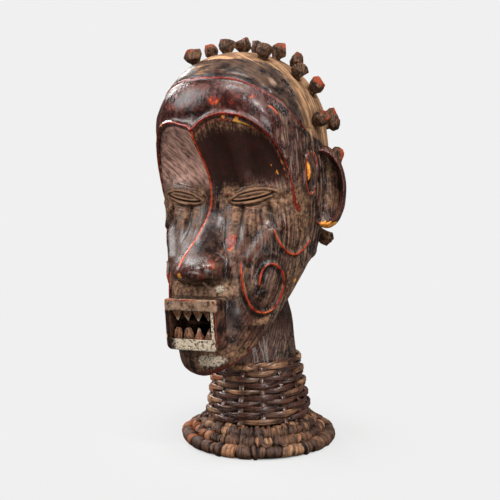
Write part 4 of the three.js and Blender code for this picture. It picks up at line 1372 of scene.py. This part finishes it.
def makeCane(name, colours, polish, roughness, coat):
    # split cane: fine fibres along each strand, paler on raised edges (rubbed, and a painted highlight), and
    # darker between the strands with painted shade in the gaps and where strands pass under
    material, b, shader = newMaterial(name, colours, roughness, 0.4, coat)
    fibre = b.use(fibreGroup, b.painted("fibre", "Vector"), Fineness=640, Length=0.05, Contrast=1)
    mid, wide, fine = b.cloud(150, 7, 0.65), b.cloud(34, 5), b.cloud(700, 3)
    strand, wear = b.painted("strand"), b.painted("wear")
    tone = b.weighed((mid, 0.45), (strand, 0.55))
    b.colour = b.mix(b.fade(tone, 0.26, 0.44), "dark", "middle")
    b.lay("light", b.fade(tone, 0.48, 0.68))
    b.lay("polished", b.fade(b.weighed((wide, 0.6), (strand, -0.35)), polish - 0.12, polish + 0.06))
    b.lay("dark", b.fade(fibre, 0.60, 0.15), 0.8)
    b.lay("dark", b.fade(mid, 0.46, 0.34), 0.7)
    b.lay("light", b.use(wearAndHighlightGroup, Edge=wear, Low=0.45, High=0.95, Patch_Scale=90), 0.4)
    b.lay("orange", b.painted("reds"), b.fade(mid, 0.36, 0.56), 0.8)
    b.lay("dark", b.fade(wear, -0.04, -0.30))
    b.lay("dark", b.painted("shade"), 0.9)
    b.set(shader.inputs["Base Color"], b.colour)
    rough = b.fade(b.plus(mid, b.times(strand, 0.3)), 0.4, 0.85, roughness - 0.12, roughness + 0.18)
    b.set(shader.inputs["Roughness"], rough)
    b.relief(shader, [(mid, 0.0010, 0.45), (fibre, 0.0007, 0.65), (fine, 0.0003, 0.3)])
    return material


darkCane = makeCane("polishedCane", caneColours["collar"], 0.12, 0.24, 0.5)
dryCane = makeCane("dryCane", caneColours["foot"], 0.22, 0.58, 0.0)


def hoop(steps, corners):
    # a closed ring of small round section, spun round the axis: section radius 1, ring radius 3
    bm = bmesh.new()
    made = bmesh.ops.create_circle(bm, segments=corners, radius=1)
    bmesh.ops.rotate(bm, matrix=Matrix.Rotation(math.pi / 2, 3, "X"), verts=made["verts"])
    bmesh.ops.translate(bm, vec=(3, 0, 0), verts=made["verts"])
    bmesh.ops.spin(bm, geom=bm.verts[:] + bm.edges[:], cent=(0, 0, 0), axis=(0, 0, 1), angle=2 * math.pi,
                   steps=steps, use_merge=True, use_normal_flip=False, use_duplicate=False)
    bmesh.ops.recalc_face_normals(bm, faces=bm.faces)
    mesh = meshFrom("hoop", bm)
    x, y, z = readPoints(mesh).T
    return mesh, np.arctan2(y, x), np.hypot(x, y) - 3, z


def strip(cuts, corners):
    # a closed rod of radius 1 from -1 to 1 along Z
    bm = bmesh.new()
    cone(bm, corners, 1, 1, 2)
    sides = [e for e in bm.edges if abs(e.verts[0].co.z - e.verts[1].co.z) > 1]
    bmesh.ops.subdivide_edges(bm, edges=sides, cuts=cuts, use_grid_fill=True)
    mesh = meshFrom("strip", bm)
    return (mesh, *readPoints(mesh).T)


def joined(name, strands):
    # one mesh of many strands: (mesh, points, fibre vector, tone, reds, shade). The last three are one number
    # or one for each point
    bm = bmesh.new()
    for mesh, points, *_ in strands:
        writePoints(mesh, points)
        bm.from_mesh(mesh)
    bmesh.ops.recalc_face_normals(bm, faces=bm.faces)
    mesh = meshFrom(name, bm)
    points, fibre = (np.concatenate([strand[k] for strand in strands]) for k in (1, 2))
    for k, key in enumerate(("strand", "reds", "shade"), 3):
        values = [np.broadcast_to(strand[k], len(strand[1])) for strand in strands]
        setValues(mesh, key, np.concatenate(values))
    setVectors(mesh, "fibre", fibre * mm)
    setValues(mesh, "wear", sharpness(mesh, points, 3))
    return mesh, points


def around(radius, turn, z):
    return np.stack([radius * np.cos(turn), radius * np.sin(turn), z], -1)


# The woven collar round the neck
collar = {
    "bottom": 24, "top": 72, "bottomRadius": 45.5, "topRadius": 37.6, "inset": 1.7, "rows": 10, "stakes": 14,
    "strandWide": 2.5, "strandThick": 1.3, "weave": 1.2, "split": 0.35, "redRow": 7,
    "paintedLightSide": math.radians(215),
    "stakeWide": 2.4, "stakeThick": 1.0, "stakeWeave": 1.0, "stakeOver": [1.5, 0.6],
    # the thin strands that bind the top edge
    "edge": {"strands": 2, "height": 71.2, "crossings": 9, "inOut": 0.9, "upDown": 0.8, "thick": 1.2,
             "wide": 1.3},
}


def collarRadius(z):
    t = clamp01((z - collar["bottom"]) / (collar["top"] - collar["bottom"]))
    return lerp(collar["bottomRadius"], collar["topRadius"], t) - collar["inset"]


def collarRow(chance, row, ring):
    # one strand that passes over and under the stakes, in turn with the rows beside it
    mesh, turn, out, up = ring
    middle = collar["bottom"] + (row + 0.5) * (collar["top"] - collar["bottom"]) / collar["rows"]
    wide, phase = collar["strandWide"] * chance.uniform(0.9, 1.08), chance.uniform(0, 6)
    tones = np.array([chance.random() for _ in range(collar["stakes"])])
    passing = collar["stakes"] / 2 * turn + np.pi * row
    over, span = np.cos(passing), np.floor(passing / (2 * np.pi) + 0.5).astype(int) % len(tones)
    z = middle + up * wide * (0.9 + 0.14 * over) + 0.7 * np.sin(turn + 0.4)
    z += 0.5 * np.sin(3 * turn + phase) + 0.3 * np.sin(7 * turn + 2 * phase)
    radius = collarRadius(middle) + collar["weave"] * np.sign(over) * np.abs(over) ** 0.8
    # two split halves lie side by side in each strand
    radius += out * collar["strandThick"] * (0.9 + 0.25 * over) - collar["split"] * bump(up, 0.16) * (out > 0)
    # paler on one side as painted light, with some orange in the cane there
    pale = smooth(np.cos(turn - collar["paintedLightSide"]), 0.3, 0.9)  # orange-brown, on the photo's left
    tone = tones[span] * 0.85 + 0.5 * pale - 0.08 + 0.5 * (row == collar["rows"] - 1)
    reds = 0.5 * pale * (tones[span] > 0.6) + 0.9 * pale * (row == collar["redRow"])
    fibre = np.stack([up * wide, out * 2 + row * 9, turn * 42], -1)
    return mesh, around(radius, turn, z), fibre, tone, reds, bump(over + 1, 0.5) * 0.6


def collarStake(chance, stake, rod):
    mesh, x, y, along = rod
    tone, lean, t = chance.random() * 0.4, chance.uniform(-0.02, 0.02), (along + 1) / 2
    under, above = collar["stakeOver"]
    z = lerp(collar["bottom"] - under, collar["top"] + above, t)
    rows = (z - collar["bottom"]) * collar["rows"] / (collar["top"] - collar["bottom"])
    over = np.sin(np.pi * (rows + stake))
    radius = collarRadius(z) + collar["stakeWeave"] * over - y * collar["stakeThick"]
    angle = 2 * math.pi * stake / collar["stakes"] + x * collar["stakeWide"] / radius + lean * (2 * t - 1)
    fibre = np.stack([x * 2.3, stake * 7 + y, z], -1)
    return mesh, around(radius, angle, z), fibre, tone, 0.15 * (tone > 0.2), 0.35


def collarEdge(k, ring):
    mesh, turn, out, up = ring
    edge = collar["edge"]
    twist = edge["crossings"] * turn + 2 * math.pi * k / edge["strands"]
    radius = collarRadius(edge["height"] - 0.2) + edge["inOut"] * np.cos(twist) + out * edge["thick"]
    z = edge["height"] + edge["upDown"] * np.sin(twist) + up * edge["wide"]
    return mesh, around(radius, turn, z), np.stack([up, out + k * 5, turn * 38], -1), 0.6, 0, 0


def buildCollar():
    chance, ring, rod = random.Random(4), hoop(216, 12), strip(46, 10)
    strands = [collarRow(chance, row, ring) for row in range(collar["rows"])]
    strands += [collarStake(chance, stake, rod) for stake in range(collar["stakes"])]
    strands += [collarEdge(k, ring) for k in range(collar["edge"]["strands"])]
    mesh, points = joined("wovenCollar", strands)
    writePoints(mesh, leaned(points))
    return makePiece("wovenCollar", mesh, darkCane, ["cane_collar"])


buildCollar()
print("collar ready")

# The foot: coils stepping down to the widest one, each bound with short split strips
foot = {
    # [coil radius from the axis, height of its middle, half thickness out, half thickness up, strips]
    "coils": [[60.2, 5.6, 5.9, 5.4, 44], [52.2, 11.3, 4.6, 4.6, 38], [46.3, 16.4, 3.9, 4.6, 36],
              [42.6, 20.3, 2.6, 2.6, 48]],
    "gap": 0.8, "sink": 2.2, "proud": 0.9, "slant": 0.0035, "redSide": math.radians(225),
    "widths": [0.5, 0.7, 1, 1.3, 1.8],
    # how far down the bent stake ends lie, [radius, height], and how far out they reach
    "drape": [[43.5, 20.4], [46.5, 21.0], [50.2, 16.9], [52.6, 16.5], [56.2, 12.2], [60, 11.6], [64, 9.4]],
    "stakes": 20, "from": 43.5, "reaches": [50.5, 54, 57, 62],
}


def footCoil(chance, coil):
    coilRadius, height, thickOut, thickUp, strips = foot["coils"][coil]
    shares = np.array([chance.choice(foot["widths"]) * chance.uniform(0.8, 1.2) for _ in range(strips)])
    edges = np.concatenate([[0], np.cumsum(shares)]) / shares.sum()
    tones, proud, tilt = np.array([[chance.random(), chance.uniform(-1, 1), chance.uniform(-1, 1)]
                                   for _ in range(strips)]).T
    mesh, turn, out, up = hoop(strips * 16, 16)
    section, place = np.arctan2(up, out), (turn / (2 * np.pi) + 0.5) % 1

    def stripAt(share):
        return np.minimum(np.searchsorted(edges, share, side="right") - 1, strips - 1)

    share = (place + foot["slant"] * tilt[stripAt(place)] * np.sin(section)) % 1
    index = stripAt(share)
    width = edges[index + 1] - edges[index]
    inside = (share - edges[index]) / width
    fromEdge = np.minimum(inside, 1 - inside) * width * 2 * np.pi * coilRadius
    swell = foot["proud"] * proud[index] * clamp01(fromEdge) + 0.2 * np.sin(np.pi * inside)
    swell -= foot["sink"] * bump(fromEdge, foot["gap"])
    bent = cloudy(around(30 + 0 * turn, turn, section * 4), 5, coil)
    radius = coilRadius + out * (thickOut + swell) + 0.35 * bent
    z = np.maximum(height + up * (thickUp + swell) + 0.4 * bent, 0)
    red = smooth(np.cos(turn - foot["redSide"]), 0.8, 0.97) * (coil < 2) * (tones[index] > 0.25)
    fibre = np.stack([turn * coilRadius, index * 7 + out, section * thickOut], -1)
    return (mesh, around(radius, turn, z), fibre, 0.15 + 0.7 * tones[index],
            0.65 * red + 0.25 * (tones[index] > 0.86), bump(fromEdge, foot["gap"] * 0.9))


def stakeEnd(chance, stake, rod, drape):
    # a bent end of a stake, lying over the coils
    mesh, x, y, along = rod
    turn = 2 * math.pi * (stake + chance.uniform(-0.3, 0.3)) / foot["stakes"]
    tone, bend, reach = chance.random(), chance.uniform(-0.15, 0.15), chance.choice(foot["reaches"])
    t = (along + 1) / 2
    radius = lerp(foot["from"], reach, t)
    z = drape(radius) + y * 0.9 + 0.3
    angle = turn + x * 2.6 / radius + bend * t * t
    return mesh, around(radius, angle, z), np.stack([x * 2.4, stake * 6 + y, radius], -1), tone * 0.5, 0, 0


def buildFoot():
    chance, rod, drape = random.Random(9), strip(22, 10), keyed(foot["drape"])
    strands = [footCoil(chance, coil) for coil in range(len(foot["coils"]))]
    strands += [stakeEnd(chance, stake, rod, drape) for stake in range(foot["stakes"])]
    mesh, points = joined("boundFootRing", strands)
    writePoints(mesh, points * mm + (axis.x, axis.y, 0))
    return makePiece("boundFootRing", mesh, dryCane, ["cane_foot_ring"])


buildFoot()
print("foot ring ready")

# The photograph's view, measured round the neck's axis
view = {"turn": math.radians(33), "away": 1.0, "height": 0.318, "aim": 0.164,
        "sensor": 36, "lens": 86.04, "shift": -0.0172}


def addObject(name, data):
    thing = bpy.data.objects.new(name, data)
    bpy.context.scene.collection.objects.link(thing)
    return thing


def aimAt(thing, place, target):
    thing.location = place
    thing.rotation_euler = (target - place).to_track_quat("-Z", "Y").to_euler()


def addCamera():
    data = bpy.data.cameras.new("photoView")
    data.sensor_width, data.lens, data.shift_x = view["sensor"], view["lens"], view["shift"]
    camera = addObject("photoView", data)
    across, back = math.sin(view["turn"]) * view["away"], math.cos(view["turn"]) * view["away"]
    place = Vector((axis.x + across, axis.y - back, view["height"]))
    aimAt(camera, place, Vector((axis.x, axis.y, view["aim"])))
    bpy.context.scene.camera = camera


studio = {
    "paper": (0.08, 0.08, 0.08), "paperRadius": 0.25, "paperFade": [0.07, 0.155],
    "glow": 0.722, "glowFrom": [0.058, 0.064], "middle": 0.18,
    "backdrop": (0.871, 0.871, 0.871), "air": (0.135, 0.119, 0.110),
    # name: [turn from the camera in degrees, rise in degrees, distance, watts, size]
    "lights": {"left": [-92, 33, 1.2, 13, 0.6], "right": [34, 44, 1.2, 10, 0.17],
               "top": [-20, 80, 1.2, 13, 0.4], "edge": [-150, 25, 1.2, 6, 0.25], "low": [18, 4, 1.3, 6, 0.3]},
}


def addFloor():
    # pale paper that runs out into the backdrop
    bm = bmesh.new()
    bmesh.ops.create_circle(bm, cap_ends=True, segments=96, radius=studio["paperRadius"])
    floor = addObject("floor", meshFrom("floor", bm))
    floor.location = (axis.x, axis.y, 0)
    paper, b, shader = newMaterial("palePaper", None, 0.95, 0.1)
    shader.inputs["Base Color"].default_value = (*studio["paper"], 1)
    shader.inputs["Emission Color"].default_value = (1, 1, 1, 1)
    seen = b.put("ShaderNodeLightPath").outputs["Is Camera Ray"]
    fromMiddle = b.put("ShaderNodeVectorMath", {0: b.vector}, operation="LENGTH").outputs["Value"]
    outside = b.fade(fromMiddle, *studio["glowFrom"])  # none under the foot, where it would show through
    b.set(shader.inputs["Emission Strength"], b.times(seen, outside, studio["glow"]))
    b.set(shader.inputs["Alpha"], b.fade(fromMiddle, *studio["paperFade"], 1.0, 0.0))
    floor.data.materials.append(paper)


def addLights():
    world = bpy.data.worlds.new("studio")
    world.use_nodes = True
    b = Board(world.node_tree)
    seen = b.put("ShaderNodeLightPath").outputs["Is Camera Ray"]
    background = world.node_tree.nodes["Background"]
    b.set(background.inputs[0], b.mix(seen, studio["air"], studio["backdrop"]))
    bpy.context.scene.world = world
    middle = Vector((axis.x, axis.y, studio["middle"]))
    for name, (turn, rise, away, watts, size) in studio["lights"].items():
        turn, rise = view["turn"] + math.radians(turn), math.radians(rise)
        data = bpy.data.lights.new(name, "AREA")
        data.energy, data.size = watts, size
        level = math.cos(rise)
        direction = Vector((math.sin(turn) * level, -math.cos(turn) * level, math.sin(rise)))
        aimAt(addObject(name, data), middle + away * direction, middle)


addCamera()
addFloor()
addLights()
bpy.context.scene.view_settings.view_transform = "Standard"
print("camera, floor and lights ready")
